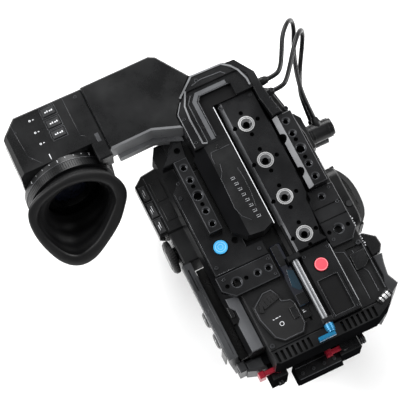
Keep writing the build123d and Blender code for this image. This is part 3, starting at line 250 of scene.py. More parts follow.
class Piece:
    """Collects simple solids, in millimetres, into one object that rides on a body."""

    def __init__(self, name):
        self.name = name
        self.mesh = bmesh.new()

    def box(self, low, high, lean=None):
        """A block between two corners, turned about its middle by lean."""
        low, high = Vector(low), Vector(high)
        made = bmesh.ops.create_cube(self.mesh, size=1)["verts"]
        size = high - low
        centre = (low + high) / 2
        for vert in made:
            offset = Vector(a * b for a, b in zip(vert.co, size))
            vert.co = centre + (lean @ offset if lean else offset)
        return self

    def bar(self, start, end, radius, end_radius=None, sides=24):
        """A round bar or cone between two points."""
        start, end = Vector(start), Vector(end)
        way = end - start
        spin = way.to_track_quat("Z", "Y").to_matrix().to_4x4()
        bmesh.ops.create_cone(
            self.mesh, cap_ends=True, segments=sides, radius1=radius,
            radius2=radius if end_radius is None else end_radius, depth=way.length,
            matrix=Matrix.Translation((start + end) / 2) @ spin)
        return self

    def ring(self, centre, axis, outer, inner, depth, sides=48):
        """A flat ring whose rear face lies at centre and that stands out along axis."""
        axis = Vector(axis).normalized()
        spin = axis.to_track_quat("Z", "Y").to_matrix()
        loops = []
        for radius, height in ((outer, 0), (outer, depth), (inner, depth), (inner, 0)):
            loop = []
            for step in range(sides):
                angle = 2 * pi * step / sides
                local = Vector((radius * cos(angle), radius * sin(angle), height))
                loop.append(self.mesh.verts.new(Vector(centre) + spin @ local))
            loops.append(loop)
        for one, other in zip(loops, loops[1:] + loops[:1]):
            for step in range(sides):
                after = (step + 1) % sides
                self.mesh.faces.new((one[step], one[after], other[after], other[step]))
        return self

    def prism(self, outline, bottom, top):
        """A straight prism on a plan outline."""
        low = [self.mesh.verts.new((x, y, bottom)) for x, y in outline]
        high = [self.mesh.verts.new((x, y, top)) for x, y in outline]
        self.mesh.faces.new(low)
        self.mesh.faces.new(high)
        for step in range(len(outline)):
            after = (step + 1) % len(outline)
            self.mesh.faces.new((low[step], low[after], high[after], high[step]))
        return self

    def ribbon(self, points, width, bottom, top):
        """A raised band of even width along a line of plan points, mitred at its corners."""
        points = [Vector(point) for point in points]
        left, right = [], []
        for step, point in enumerate(points):
            before = points[max(step - 1, 0)]
            after = points[min(step + 1, len(points) - 1)]
            first = (point - before).normalized() if step else (after - point).normalized()
            second = (after - point).normalized() if step < len(points) - 1 else first
            side = Vector((-(first + second).y, (first + second).x)).normalized()
            reach = width / 2 / max(0.35, abs(side.dot(Vector((-first.y, first.x)))))
            left.append(point + side * reach)
            right.append(point - side * reach)
        for step in range(len(points) - 1):
            self.prism([left[step], left[step + 1], right[step + 1], right[step]], bottom, top)
        return self

    def done(self, material, body="camera", bevel=0.25):
        """Make the object, in metres, with a bevel on its sharp edges, and let it ride on a body."""
        bmesh.ops.recalc_face_normals(self.mesh, faces=self.mesh.faces)
        for vert in self.mesh.verts:
            vert.co *= MM
        data = bpy.data.meshes.new(self.name)
        self.mesh.to_mesh(data)
        self.mesh.free()
        data.materials.append(material)
        piece = bpy.data.objects.new(self.name, data)
        bpy.context.scene.collection.objects.link(piece)
        if bevel:
            edge = piece.modifiers.new("edge", "BEVEL")
            edge.width = bevel * MM
            edge.segments = 2
            edge.limit_method = "ANGLE"
            edge.angle_limit = SMALL_EDGE_ANGLE
            edge.harden_normals = True
        data.shade_smooth()
        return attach(piece, body)


# ---------------------------------------------------------------- top details
Piece("rod_ferrule").bar((-16.2, -92.9, 153.2), (-16.2, -96.6, 153.2), 3.75).done(TEAL, "lock")

# pale ridges on the mount: painted highlight along its raised edges
ridges = Piece("mount_ridges")
ridges.ribbon(
    [(-39.6, 121.4), (-23.4, 135.0), (2.8, 134.2), (9.2, 129.2), (13.1, 123.6), (16.2, 113.9),
    (16.2, 108.0)], 1.5, 165, 165.6)
ridges.ribbon(
    [(-33.1, 125.2), (-39.0, 113.7), (-40.1, 101.6), (-39.6, 79.2), (-36.2, 78.0)], 1.3, 165, 165.5)
ridges.ribbon([(-46.9, 78), (-46.9, 109.6), (-40.6, 118.4)], 0.6, 165, 165.3)
ridges.done(BEVEL_HIGHLIGHT, bevel=0.3)
# thin pale lips on the mount: painted edge highlights
lips = Piece("mount_lips")
lips.ribbon([(-30.6, 120.9), (-35.4, 114.6), (-35.4, 79.0)], 0.8, 163, 163.5)
lips.ribbon([(-26.3, 127.4), (-17.6, 129.4), (-0.3, 128.3), (2.6, 125.3)], 0.7, 165, 165.3)
lips.ribbon([(-27.2, 81.0), (-27.2, 113.4), (-24.2, 117.4), (1, 117.4)], 0.7, 163, 163.6)
lips.done(EDGE_HIGHLIGHT, bevel=0.15)
# a grey band on the recess's sloped inner wall: painted highlight
slant = Piece("mount_slant_highlight")
slant.ribbon([(-30.0, 79.5), (-30.0, 114.4), (-25.6, 119.8), (0, 119.8)], 3.4, 163, 163.25)
slant.done(GREY, bevel=0.1)
# a bright strip along the spine's right top edge: painted highlight
Piece("spine_painted_highlight").box((-18.6, -4, 162.6), (-18.1, 104, 163.2)).done(MARK_AND_HIGHLIGHT, bevel=0.1)
(Piece("mount_button").bar((-30, 72, 163), (-30, 72, 163.8), 1.7).bar((-34, 92, 163), (-34, 92, 163.5), 1.3)
    .done(SATIN))

marks = Piece("spine_ticks")
for step in range(8):
    x, y = -31.2 + 0.66 * step, 43.2 - 5.2 * step
    marks.box((x - 1.6, y - 1.2, 163), (x + 1.6, y - 0.6, 163.35))
    marks.box((x - 1.6, y + 0.5, 163), (x + 0.6, y + 1.0, 163.35))
    marks.box((x + 1.2, y - 0.4, 163), (x + 1.6, y + 1.0, 163.35))
marks.done(PRINT_AND_HIGHLIGHT, bevel=0.1)
lines = Piece("spine_lines")
lines.ribbon([(-23.8, 50), (-22.9, 40), (-23.1, 28), (-24.9, 14.7)], 0.5, 162.7, 163.25)
lines.ribbon(
    [(-34.8, 58.5), (-36.2, 52), (-39.5, 47), (-40.6, 20), (-38.4, 12), (-33, 6)], 0.5, 162.6, 163.25)
lines.ribbon([(-21, 70), (-37, 70), (-38.5, 66), (-38.5, 60)], 0.5, 162.7, 163.25)
lines.done(SHEEN, bevel=0.1)

# dark blocks of painted shade: they close gaps or cover walls that would otherwise render bright
Piece("rail_painted_shade").box((-14.3, -30.8, 150), (-12.3, -6, 155.2)).done(DEEP_SHADE, bevel=0.1)
Piece("channel_painted_shade").box((-83.8, -82.4, 100), (-74, -81.2, 114)).done(MATTE_SHADE, bevel=0.2)
# a pale strip that stands for the highlight along the lock rod
Piece("rod_painted_highlight").box((-14.95, -86.5, 155.1), (-14.3, -37.5, 155.5)).done(MARK_AND_HIGHLIGHT, "lock", bevel=0.1)
Piece("corner_painted_shade").box((-69.2, -93.5, 94), (-60, -84, 119)).done(MATTE_SHADE)

threads = Piece("threads")
for x, y, z in ((-61.5, 43.6, 160), (29.0, 43.6, 160), (-64, -31, 150), (27.5, -26.5, 150)):
    for turn in range(3):
        threads.ring((x, y, z - 2.0 - 1.3 * turn), (0, 0, 1), 3.95, 3.55, 0.5)
for x, y, z in [(side, y, 160) for side in (-61.5, 29.0) for y in (69.3, 57.8, 29.4, 17.9)] + [
        (-46, -31, 150), (-36.5, -31, 150), (27.5, 3, 150)]:
    for turn in range(3):
        threads.ring((x, y, z - 1.9 - 1.2 * turn), (0, 0, 1), 2.6, 2.25, 0.45)
threads.done(SCREW, bevel=0)
# a dark ring round each bushing is painted shade
for row in range(4):
    y = 81.5 - 34 * row
    Piece("bushing_seat_shade").ring((0, y, 158), (0, 0, 1), 7.2, 6.7, 0.12).done(DEEP_SHADE, bevel=0)
    Piece("bushing_groove").ring((0, y, 158), (0, 0, 1), 5.7, 5.35, 0.06).done(SCREW, bevel=0)

# the paler rings on the buttons are painted highlight; the dark rings round them are painted shade
(Piece("blue_rings").ring((-63, 0, 151.3), (0, 0, 1), 4.3, 3.7, 0.2)
    .ring((-63, 0, 151.3), (0, 0, 1), 2.3, 1.8, 0.2).done(BLUE_RING_HIGHLIGHT, "blue", bevel=0.08))
Piece("blue_button_shade").ring((-63, 0, 150), (0, 0, 1), 6.6, 6.0, 0.2).done(DEEP_SHADE, bevel=0)
Piece("red_rings").ring((1.2, -47.5, 153.2), (0, 0, 1), 5.1, 4.6, 0.15).done(RED_RIM_HIGHLIGHT, "red", bevel=0.05)
Piece("red_button_shade").ring((1.2, -47.5, 152), (0, 0, 1), 6.2, 5.65, 0.2).done(DEEP_SHADE, bevel=0)

# a dark window whose blue tint is a painted reflection
(Piece("window_glass")
    .prism([(-24.7, -38.5), (-26.9, -53.0), (-22.6, -58.2), (-20.0, -57.0), (-20.0, -41.0)], 148.5, 148.75)
    .done(REFLECTION_TINT, bevel=0.1))
(Piece("window_step").box((-28, -68.8, 148.5), (-20, -60, 148.9))
    .box((-28, -34.5, 148.5), (-22.4, -17, 148.9)).done(SATIN))

# rubber socket flap with its pull tab
# a pale line along the flap's rim: painted sheen
flap = Piece("flap_rim")
flap.ribbon(
    [(-60.6, -55.2), (-50, -47.4), (-42.8, -47.4), (-40.3, -52.6), (-39.2, -59), (-32.4, -61.2),
    (-30.7, -64.6), (-30.7, -82.4), (-34.8, -88.1), (-50.4, -88.1), (-55.9, -83.4), (-60.6, -65.8),
    (-60.6, -55.2)], 0.8, 146.2, 146.8)
flap.done(SHEEN, bevel=0.2)
tab = (Piece("flap_tab")
    .prism([(-54.6, -52.6), (-42.2, -49.7), (-38.8, -55.9), (-53.8, -59.8)], 146.2, 147.6))
tab.prism([(-58.4, -60.5), (-55.4, -52.8), (-53.2, -53.6), (-55.6, -62)], 146.2, 147.4)
for step in range(4):
    x = -51.6 + 3.2 * step
    tab.bar((x, -53.0 + 0.7 * step, 147.7), (x + 1.2, -57.6 + 0.7 * step, 147.7), 0.35, sides=8)
tab.done(RUBBER, bevel=0.35)
(Piece("flap_mark").ring((-46.9, -75.4, 146.2), (0, 0, 1), 1.8, 1.4, 0.15)
    .box((-52, -70.2, 146.2), (-50.8, -69.6, 146.35)).box((-49.8, -70.0, 146.2), (-47.2, -69.5, 146.35))
    .box((-46.4, -69.8, 146.2), (-45.2, -69.3, 146.35)).done(MARK_AND_HIGHLIGHT, bevel=0))
(Piece("flap_square").prism([(-36.6, -66.6), (-31.8, -66.6), (-31.8, -76.6), (-36.6, -76.6)], 146.2, 147.2)
    .done(SATIN, bevel=0.3))
Piece("cell_hatch").box((-29.2, -79.5, 144), (-22.5, -66.5, 144.9)).done(SATIN, bevel=0.3)
(Piece("hatch_mark").box((-27.6, -74.4, 144.9), (-25.2, -73.9, 145.05))
    .box((-27.6, -72.9, 144.9), (-26.2, -72.4, 145.05)).done(MARK_AND_HIGHLIGHT, bevel=0))

Piece("rear_barrel").bar((30.6, -92.2, 144.0), (39.4, -89.2, 144.0), 2.9).done(STEEL, bevel=0.4)
(Piece("rear_barrel_cap").bar((28.6, -92.9, 144.0), (30.8, -92.1, 144.0), 3.3)
    .bar((39.2, -89.3, 144.0), (41.2, -88.6, 144.0), 3.3).done(SATIN, bevel=0.4))

(Piece("rear_barrel_bands").bar((32.4, -91.5, 144.0), (33.8, -90.9, 144.0), 3.05)
    .bar((36.2, -90.1, 144.0), (37.2, -89.8, 144.0), 3.05).done(SATIN, bevel=0.2))

labels = Piece("shoulder_labels")
for step in range(5):
    y = -17.5 - 2.1 * step
    labels.box((43.4, y - 0.5, 134.1), (43.4 + (0.9, 1.5, 0.7, 1.3, 1.0)[step], y + 0.4, 134.3))
for step in range(6):
    y = -34.0 - 2.0 * step
    labels.box((43.0, y - 0.5, 134.1), (43.0 + (1.4, 0.8, 1.2, 0.7, 1.5, 0.9)[step], y + 0.4, 134.3))
labels.done(MARK_AND_HIGHLIGHT, bevel=0)

# plan place, height of the plate and head radius of each screw
PLATE_SCREWS = [
    (-70, 62, 150, 1.5), (-47, 62, 150, 1.5), (36.8, -6, 150, 1.5), (19.5, -33, 150, 1.5),
    (36, 7.6, 150, 1.3), (-72.5, -25, 150, 1.4), (-34, -24.5, 150, 1.3), (-34, -38, 150, 1.3),
    (-8.4, -36.4, 152, 1.4), (12.2, -36.4, 152, 1.4), (-8.4, -89, 152, 1.3), (12.2, -89, 152, 1.3),
    (-13.2, 102.5, 158, 1.4), (13.8, 102.5, 158, 1.4), (-44.2, 82, 165, 1.4), (-44.2, 104, 165, 1.4),
    (9, 129, 165, 1.5), (-21, 130, 165, 1.5), (26.3, 92, 163, 0.9), (27.6, 82, 163, 0.9),
]
plate_screws = Piece("plate_screws")
# the dark hex sockets in the screw heads are painted shade
screw_holes = Piece("screw_sockets")
for x, y, z, radius in PLATE_SCREWS:
    plate_screws.ring((x, y, z), (0, 0, 1), radius, radius * 0.5, 0.45, 24)
    screw_holes.bar((x, y, z), (x, y, z + 0.2), radius * 0.55, sides=6)
plate_screws.done(SCREW, bevel=0.12)
screw_holes.done(DEEP_SHADE, bevel=0)

# a pale strip along the plate's edge: painted highlight
Piece("plate_edge_highlight").box((14.1, -86, 151.7), (14.55, -35, 152.15)).done(PRINT_AND_HIGHLIGHT, bevel=0.1)
# pale lines along the bracket's edges: painted edge highlight
(Piece("bracket_edge_highlight").ribbon([(-76.4, 55), (-76.4, -19.6), (-60, -19.6)], 0.35, 150, 150.2)
    .ribbon([(-65.4, 66), (-44.6, 66), (-44.6, -7.6)], 0.3, 150, 150.2).done(EDGE_HIGHLIGHT, bevel=0))
# pale lines along the cover's steps: painted edge highlight
steps = Piece("cover_steps")
steps.ribbon([(16.4, -41.5), (23.4, -44.5), (24.2, -52), (24.4, -87)], 0.5, 143.9, 144.35)
steps.ribbon([(30.5, -45), (30.5, -60), (34, -66), (34, -84)], 0.45, 141.4, 142.0)
steps.ribbon([(39.6, -42), (39.6, -84)], 0.4, 141.4, 144.2)
steps.done(EDGE_HIGHLIGHT, bevel=0.1)
(Piece("cover_block").prism([(26, -48), (38.6, -48), (38.6, -58), (33, -62), (26, -62)], 141.5, 143.6)
    .done(SATIN, bevel=0.5))

# the rear recess is lined with painted shade and its rim line is painted sheen
recess = Piece("rear_recess_shade").box((-6.6, -87.8, 150.4), (8.2, -59.6, 150.55))
recess.done(DEEP_SHADE, bevel=0.05)
(Piece("recess_rim")
    .ribbon([(-7.9, -89.2), (9.5, -89.2), (9.5, -58.4), (-7.9, -58.4), (-7.9, -89.2)], 0.4, 152, 152.25)
    .done(SHEEN, bevel=0.1))

# ---------------------------------------------------------------- viewfinder details
EYE = Vector((-147, 108.5, 130))
LEAN_EYE = radians(15)
LEAN_RIM = radians(38)
ALONG = Vector((0, -cos(LEAN_EYE), sin(LEAN_EYE)))
FACING = Vector((0, -cos(LEAN_RIM), sin(LEAN_RIM)))


def eye_point(radius, angle, distance, lean=LEAN_EYE):
    """A point around the eyepiece axis: angle from the right, in a plane at a distance along the axis."""
    upward = Vector((0, sin(lean), cos(lean)))
    return EYE + ALONG * distance + Vector((radius * cos(angle), 0, 0)) + upward * (radius * sin(angle))


# the pale frames round the viewfinder keys are painted edge highlights
for number, y in enumerate((157.5, 147.0, 137.0), start=1):
    frame_line = Piece("key_frame")
    frame_line.ribbon(
        [(-144.9, y - 4.4), (-132.1, y - 4.4), (-132.1, y + 4.4), (-144.9, y + 4.4), (-144.9, y - 4.4)],
        0.4, 165, 165.3)
    frame_line.done(EDGE_HIGHLIGHT, "evf", bevel=0.1)
    ticks = Piece("key_ticks")
    for step in range(4):
        x = -141.6 + 1.9 * step
        ticks.box(
            (x, y - 0.8, 166.0), (x + (1.3, 0.9, 1.4, 1.0)[step], y + (0.3, 0.8, 0.2, 0.7)[step], 166.12))
    ticks.done(MARK_AND_HIGHLIGHT, "evf_key_%d" % number, bevel=0)
dots = Piece("finder_marks")
for y in (156.5, 145.4, 135.0):
    dots.ring((-155, y, 165), (0, 0, 1), 0.9, 0.45, 0.12, 20)
    dots.box((-152.9, y - 0.5, 165), (-151.6, y + 0.2, 165.12))
dots.box((-152.9, 119.6, 165), (-152.3, 124.4, 165.12))
dots.done(MARK_AND_HIGHLIGHT, "evf", bevel=0)
Piece("finder_slot").box((-113.6, 116.5, 165), (-110.4, 124.2, 165.25)).done(EDGE_HIGHLIGHT, "evf", bevel=0.1)
seam = Piece("finder_seams")
seam.ribbon([(-170.5, 161.2), (-168.6, 130), (-160.5, 119.5)], 0.35, 165.0, 165.12)
seam.ribbon([(-124, 164), (-124, 128), (-120.5, 125.5)], 0.35, 165.0, 165.12)
seam.done(SHEEN, "evf", bevel=0)
(Piece("finder_screws").ring((-114, 159.5, 165), (0, 0, 1), 1.4, 0.7, 0.3, 24)
    .ring((-169.5, 152, 165), (0, 0, 1), 1.2, 0.6, 0.3, 24).done(SCREW, "evf", bevel=0.1))

knurl = Piece("ring_knurl")
for step in range(120):
    angle = 2 * pi * step / 120
    knurl.bar(eye_point(36.35, angle, 6.4), eye_point(36.35, angle, 12.2), 0.3, sides=6)
knurl.done(DEEP_SHADE, "diopter", bevel=0)
scale = Piece("ring_scale")
for step in range(9):
    angle = radians(50 + 11 * step)
    long_tick = step % 4 == 0
    scale.bar(
        eye_point(36.45, angle, 1.2), eye_point(36.45, angle, 3.8 if long_tick else 2.2), 0.2, sides=6)
scale.done(MARK_AND_HIGHLIGHT, "diopter", bevel=0)
# a thin band of painted sheen round the diopter ring
band = Piece("ring_band_sheen").ring(eye_point(0, 0, 5.1), ALONG, 36.9, 36.2, 0.6, 96)
band.done(SHEEN, "diopter", bevel=0.1)

OUTER_RIM = [
    (33.5, 5), (37, 12.5), (37.6, 20), (34.7, 29.6), (27.7, 40), (13, 47.4), (-3.4, 49.6), (-21.3, 47.2),
    (-35, 41.6), (-41.3, 34), (-43.3, 21), (-40.5, 2), (-32, -19.2), (-20.3, -30.5), (-6.3, -31.2),
    (9.1, -22), (23.8, -9.2),
]
INNER_RIM = [
    (23.5, 6), (27, 13.7), (25.8, 26.3), (16, 36.4), (2.4, 41.6), (-13, 41.8), (-27.6, 36.6), (-34.7, 28.4),
    (-36.2, 19), (-33.2, 3), (-25, -13.7), (-15.3, -21), (-1.9, -18), (9.6, -9.7),
]
RIM_CENTRE = Vector((-4, 9))
AROUND = 144


def rim_line(points):
    """A smooth closed line through plan points, sampled at even angles about the rim's centre."""
    points = [Vector(point) - RIM_CENTRE for point in points]
    dense = []
    count = len(points)
    for step in range(count):
        p0, p1, p2, p3 = (points[(step + shift) % count] for shift in (-1, 0, 1, 2))
        for part in range(24):
            t = part / 24
            dense.append(
                0.5 * (2 * p1 + (p2 - p0) * t + (2 * p0 - 5 * p1 + 4 * p2 - p3) * t * t
                + (3 * p1 - p0 - 3 * p2 + p3) * t ** 3))
    turns = sorted((atan2(p.y, p.x) % (2 * pi), p.length) for p in dense)
    turns = [(turns[-1][0] - 2 * pi, turns[-1][1])] + turns + [(turns[0][0] + 2 * pi, turns[0][1])]
    line = []
    spot = 0
    for step in range(AROUND):
        angle = 2 * pi * step / AROUND
        while turns[spot + 1][0] < angle:
            spot += 1
        (a0, r0), (a1, r1) = turns[spot], turns[spot + 1]
        radius = r0 + (r1 - r0) * (angle - a0) / max(a1 - a0, 1e-9)
        line.append(RIM_CENTRE + radius * Vector((cos(angle), sin(angle))))
    return line


def rim_point(point, lift=0.0, distance=46.0):
    """A point of the rim's own plane, lifted along its facing."""
    upward = Vector((0, sin(LEAN_RIM), cos(LEAN_RIM)))
    return EYE + ALONG * distance + Vector((point.x, 0, 0)) + upward * point.y + FACING * lift


def bezier(p0, p1, p2, p3, t):
    """A point of a cubic curve between p0 and p3."""
    u = 1 - t
    return p0 * u ** 3 + p1 * (3 * u * u * t) + p2 * (3 * u * t * t) + p3 * t ** 3


outer_line, inner_line = rim_line(OUTER_RIM), rim_line(INNER_RIM)
cup_rows = []
OUTSIDE, LIP, INSIDE = 18, 8, 26
for row in range(OUTSIDE + LIP + INSIDE + 1):
    loop = []
    for step in range(AROUND):
        angle = 2 * pi * step / AROUND
        outer, inner = outer_line[step], inner_line[step]
        if row < OUTSIDE:
            t = row / OUTSIDE
            base = eye_point(33.2, angle, 13.4)
            edge = rim_point(outer)
            fold = 0.7 * sin(pi * min(1, t * 3)) if t < 0.34 else 0
            place = bezier(
                base, base + ALONG * 13, edge - FACING * 11 - Vector((outer.x, 0, 0)) * 0.10, edge, t)
            place += (eye_point(1, angle, 0) - EYE) * fold
        elif row < OUTSIDE + LIP:
            t = (row - OUTSIDE) / LIP
            mix = (1 - cos(pi * t)) / 2
            place = rim_point(outer * (1 - mix) + inner * mix, 2.0 * sin(pi * t))
        else:
            t = (row - OUTSIDE - LIP) / INSIDE
            start = rim_point(inner)
            end = eye_point(22.5, angle, 15.5)
            place = bezier(
                start, start - FACING * 9, end + ALONG * 13 + (end - eye_point(0, 0, 15.5)) * 0.16, end, t)
            ripple = 0.5 * sin(2 * pi * 3.2 * t) * min(1, 3 * t) * min(1, 4 * (1 - t))
            place += (end - eye_point(0, 0, 15.5)).normalized() * ripple
        loop.append(place * MM)
    cup_rows.append(loop)
cup_mesh = bmesh.new()
cup_loops = [[cup_mesh.verts.new(place) for place in loop] for loop in cup_rows]
neck = [cup_mesh.verts.new(eye_point(22.5, 2 * pi * step / AROUND, 13.4) * MM) for step in range(AROUND)]
cup_loops.append(neck)
for one, other in zip(cup_loops, cup_loops[1:] + cup_loops[:1]):
    for step in range(AROUND):
        after = (step + 1) % AROUND
        cup_mesh.faces.new((one[step], one[after], other[after], other[step]))
bmesh.ops.recalc_face_normals(cup_mesh, faces=cup_mesh.faces)
cup_data = bpy.data.meshes.new("eyecup_rubber")
cup_mesh.to_mesh(cup_data)
cup_mesh.free()
cup_data.materials.append(RUBBER)
cup_data.shade_smooth()
cup = bpy.data.objects.new("eyecup_rubber", cup_data)
bpy.context.scene.collection.objects.link(cup)
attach(cup, "cup")
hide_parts("eyecup")

eye_tube = Piece("eye_tube").ring(eye_point(0, 0, 0.6), ALONG, 22.0, 15.2, 9.5, 72)
eye_tube.ring(eye_point(0, 0, 10.1), ALONG, 17.2, 15.2, 1.4, 72)
eye_tube.done(SATIN, "evf", bevel=0.4)
lens_dome = Piece("eye_lens")
for ring, radius in enumerate((15.0, 11.0, 7.0, 3.0)):
    lens_dome.bar(
        eye_point(0, 0, 6.0 + ring * 0.7), eye_point(0, 0, 6.8 + ring * 0.7), radius, radius - 3.2,
        sides=64)
lens_dome.done(GLASS, "evf", bevel=0.2)

# ---------------------------------------------------------------- left side details
# a dark block in the ledge notch is painted shade
Piece("ledge_notch").box((-79.2, -57, 129), (-74.2, -37.5, 134.05)).done(DEEP_SHADE, bevel=0.2)
Piece("ledge_latch").box((-78.6, -52, 131.5), (-75.2, -42, 135.1)).done(SATIN, bevel=0.5)
ovals = Piece("door_rings")
for y in (-23, -38):
    ovals.ring((-93.0, y, 133), (0, 0, 1), 1.6, 1.0, 0.3, 24)
ovals.box((-94.6, -70, 133), (-93.9, -8, 133.25))
ovals.done(EDGE_HIGHLIGHT, "door", bevel=0.08)
Piece("door_seam").box((-89.9, -78, 133), (-89.5, -4, 133.2)).done(SHEEN, "door", bevel=0)
Piece("door_grip").box((-95.5, -76.5, 104), (-94.2, -68.5, 128)).done(SATIN, "door", bevel=0.5)
SLOPE = 8.6
lean = Matrix.Rotation(radians(-SLOPE), 3, "Y")
Piece("screen_glass").box((-85.7, -72, 84.5), (-84.9, -12, 114.5), lean).done(GLOSS, "door", bevel=0.15)

wheel_bars = Piece("wheel_knurl")
for step in range(40):
    angle = 2 * pi * step / 40
    y, z = 20.8 + 13.3 * cos(angle), 110 + 13.3 * sin(angle)
    wheel_bars.bar((-97.4, y, z), (-94.3, y, z), 0.55, sides=6)
wheel_bars.done(RUBBER, "wheel", bevel=0)
(Piece("wheel_cap").bar((-99.0, 20.8, 110), (-99.6, 20.8, 110), 8.0, 7.4, sides=48)
    .ring((-99.0, 20.8, 110), (-1, 0, 0), 10.6, 10.0, 0.25).done(SATIN, "wheel", bevel=0.15))
for number, y in enumerate((-40.4, -59.4), start=1):
    knob = Piece("knob_knurl")
    for step in range(26):
        angle = 2 * pi * step / 26
        knob.bar(
            (-95.0, y + 6.4 * cos(angle), 118 + 6.4 * sin(angle)),
            (-92.6, y + 6.4 * cos(angle), 118 + 6.4 * sin(angle)), 0.3, sides=6)
    knob.done(KEY, "knob_%d" % number, bevel=0)
    (Piece("knob_line").box((-96.35, y - 0.35, 119), (-96.15, y + 0.35, 123.2))
        .done(MARK_AND_HIGHLIGHT, "knob_%d" % number, bevel=0))
    Piece("knob_scale").ring((-95, y, 118), (-1, 0, 0), 8.1, 7.6, 0.15).done(MARK_AND_HIGHLIGHT, "door", bevel=0)
for number, (low_y, high_y) in enumerate(((66.5, 79.5), (51.0, 64.5), (36.5, 49.5)), start=1):
    middle = (low_y + high_y) / 2
    (Piece("side_key_mark").box((-96.6, middle - 3.6, 129.6), (-96.1, middle + 1.2, 129.72))
        .box((-95.2, middle - 2.0, 129.6), (-94.7, middle + 3.4, 129.72))
        .done(MARK_AND_HIGHLIGHT, "side_key_%d" % number, bevel=0))
panel = Piece("panel_lines")
panel.ribbon([(-99.0, 50.25), (-91, 50.25)], 0.4, 128, 128.2)
panel.ribbon([(-99.0, 65.5), (-91, 65.5)], 0.4, 128, 128.2)
panel.ribbon([(-90.2, 37), (-90.2, 86)], 0.45, 128, 128.25)
panel.ribbon([(-76.5, 40), (-76.5, 86)], 0.6, 128, 128.3)
panel.done(EDGE_HIGHLIGHT, bevel=0.05)
(Piece("panel_port").box((-88, 44, 128), (-79, 58, 128.5)).box((-88, 62, 128), (-79, 80, 128.5))
    .done(SATIN, bevel=0.3))

# ---------------------------------------------------------------- details of the sides, front and rear
fan = Piece("left_grille")
for step in range(9):
    z = 36 + 4 * step
    x = -79 + (128 - z) * 0.15124
    fan.box((x - 0.7, -44, z - 0.9), (x + 0.6, 34, z + 0.9), lean)
fan.done(SATIN, bevel=0.25)
(Piece("left_grille_frame").box((-68.2, -48, 32), (-67.4, -46, 72)).box((-68.2, 36, 32), (-67.4, 38, 72))
    .done(SATIN))

sockets = Piece("right_sockets")
pins = Piece("right_socket_pins")
for y, z in ((-41, 88), (-41, 66), (-20, 66), (2, 66)):
    (sockets.ring((43.8, y, z), (1, 0, 0), 6.4, 4.2, 4.2, 36)
        .ring((43.8, y, z), (1, 0, 0), 8.4, 6.2, 0.9, 36))
    sockets.box((46.6, y - 0.8, z + 6.0), (47.6, y + 0.8, z + 7.2))
    pins.bar((43.9, y, z), (46.6, y, z), 0.9, sides=16)
sockets.done(SCREW, bevel=0.15)
pins.done(BRASS, bevel=0.1)
(Piece("right_covers").box((43.9, 24, 54), (45.0, 46, 84)).box((43.9, 24, 40), (45.0, 46, 50))
    .done(RUBBER, bevel=0.5))
(Piece("right_grille").box((43.9, -22, 44), (44.4, 14, 45.4)).box((43.9, -22, 48), (44.4, 14, 49.4))
    .box((43.9, -22, 52), (44.4, 14, 53.4)).done(SATIN, bevel=0.15))

front = Piece("mount_screws")
for step in range(8):
    angle = 2 * pi * (step + 0.5) / 8
    x, z = 33.6 * cos(angle), 84 + 33.6 * sin(angle)
    front.ring((x, 120, z), (0, 1, 0), 1.5, 0.7, 0.25, 20)
front.done(SCREW, bevel=0.08)
Piece("contact_block").box((-14, 108, 56.4), (14, 115.5, 59.4)).done(SATIN, bevel=0.4)
contacts = Piece("lens_contacts")
for step in range(8):
    x = -10.5 + 3 * step
    contacts.bar((x, 115.4, 58), (x, 116.0, 58), 0.7, sides=14)
contacts.done(BRASS, bevel=0.05)
Piece("lens_index").bar((0, 120, 118.4), (0, 120.5, 118.4), 1.5).done(RED, bevel=0.1)
(Piece("lens_release").bar((-50, 104, 60), (-50, 107.5, 60), 5).ring((-50, 104, 60), (0, 1, 0), 7, 5.3, 1.2)
    .done(SATIN, bevel=0.4))
Piece("tally_light").box((24, 103.8, 124), (31, 104.8, 129)).done(RED, bevel=0.3)
(Piece("front_trim").box((-68, 104, 30), (-64, 104.6, 122)).box((-60, 104, 122), (18, 104.6, 126))
    .done(SATIN, bevel=0.25))
Piece("sensor_glass").box((-15, 67.9, 75), (15, 68.4, 93)).done(GLASS, bevel=0.1)
Piece("ring_lugs").ring((0, 113.6, 84), (0, 1, 0), 42.3, 41.9, 0.8, 96).done(EDGE_HIGHLIGHT, "lens_ring", bevel=0.1)

rear = Piece("battery_contacts")
for step in range(5):
    rear.box((-29 + 4 * step, -94.4, 103), (-27.4 + 4 * step, -93.9, 110))
rear.done(BRASS, bevel=0.1)
# the dark battery ports are painted shade
(Piece("battery_port").box((-48, -94.5, 72), (-34, -93.9, 80)).box((2, -94.5, 72), (10, -93.9, 80))
    .done(DEEP_SHADE, bevel=0.15))
Piece("rear_lamp").bar((20, -84, 112), (20, -84.8, 112), 1.6).done(RED, bevel=0.1)
(Piece("rear_screws").ring((-50, -94, 110), (0, -1, 0), 1.6, 0.8, 0.3, 20)
    .ring((10, -94, 110), (0, -1, 0), 1.6, 0.8, 0.3, 20).ring((-50, -94, 84), (0, -1, 0), 1.6, 0.8, 0.3, 20)
    .done(SCREW, bevel=0.08))
(Piece("clamp_knurl").ring((9.2, -103, 95), (1, 0, 0), 4.3, 3.9, 1.0, 32)
    .ring((11.2, -103, 95), (1, 0, 0), 4.3, 3.9, 1.0, 32)
    .ring((13.2, -103, 95), (1, 0, 0), 4.3, 3.9, 1.0, 32).done(SCREW, bevel=0.1))
(Piece("wedge_teeth").box((-47, -113, 100), (-11, -112.4, 100.35))
    .box((-47, -103.4, 100), (-11, -102.8, 100.35)).done(EDGE_HIGHLIGHT, bevel=0.05))

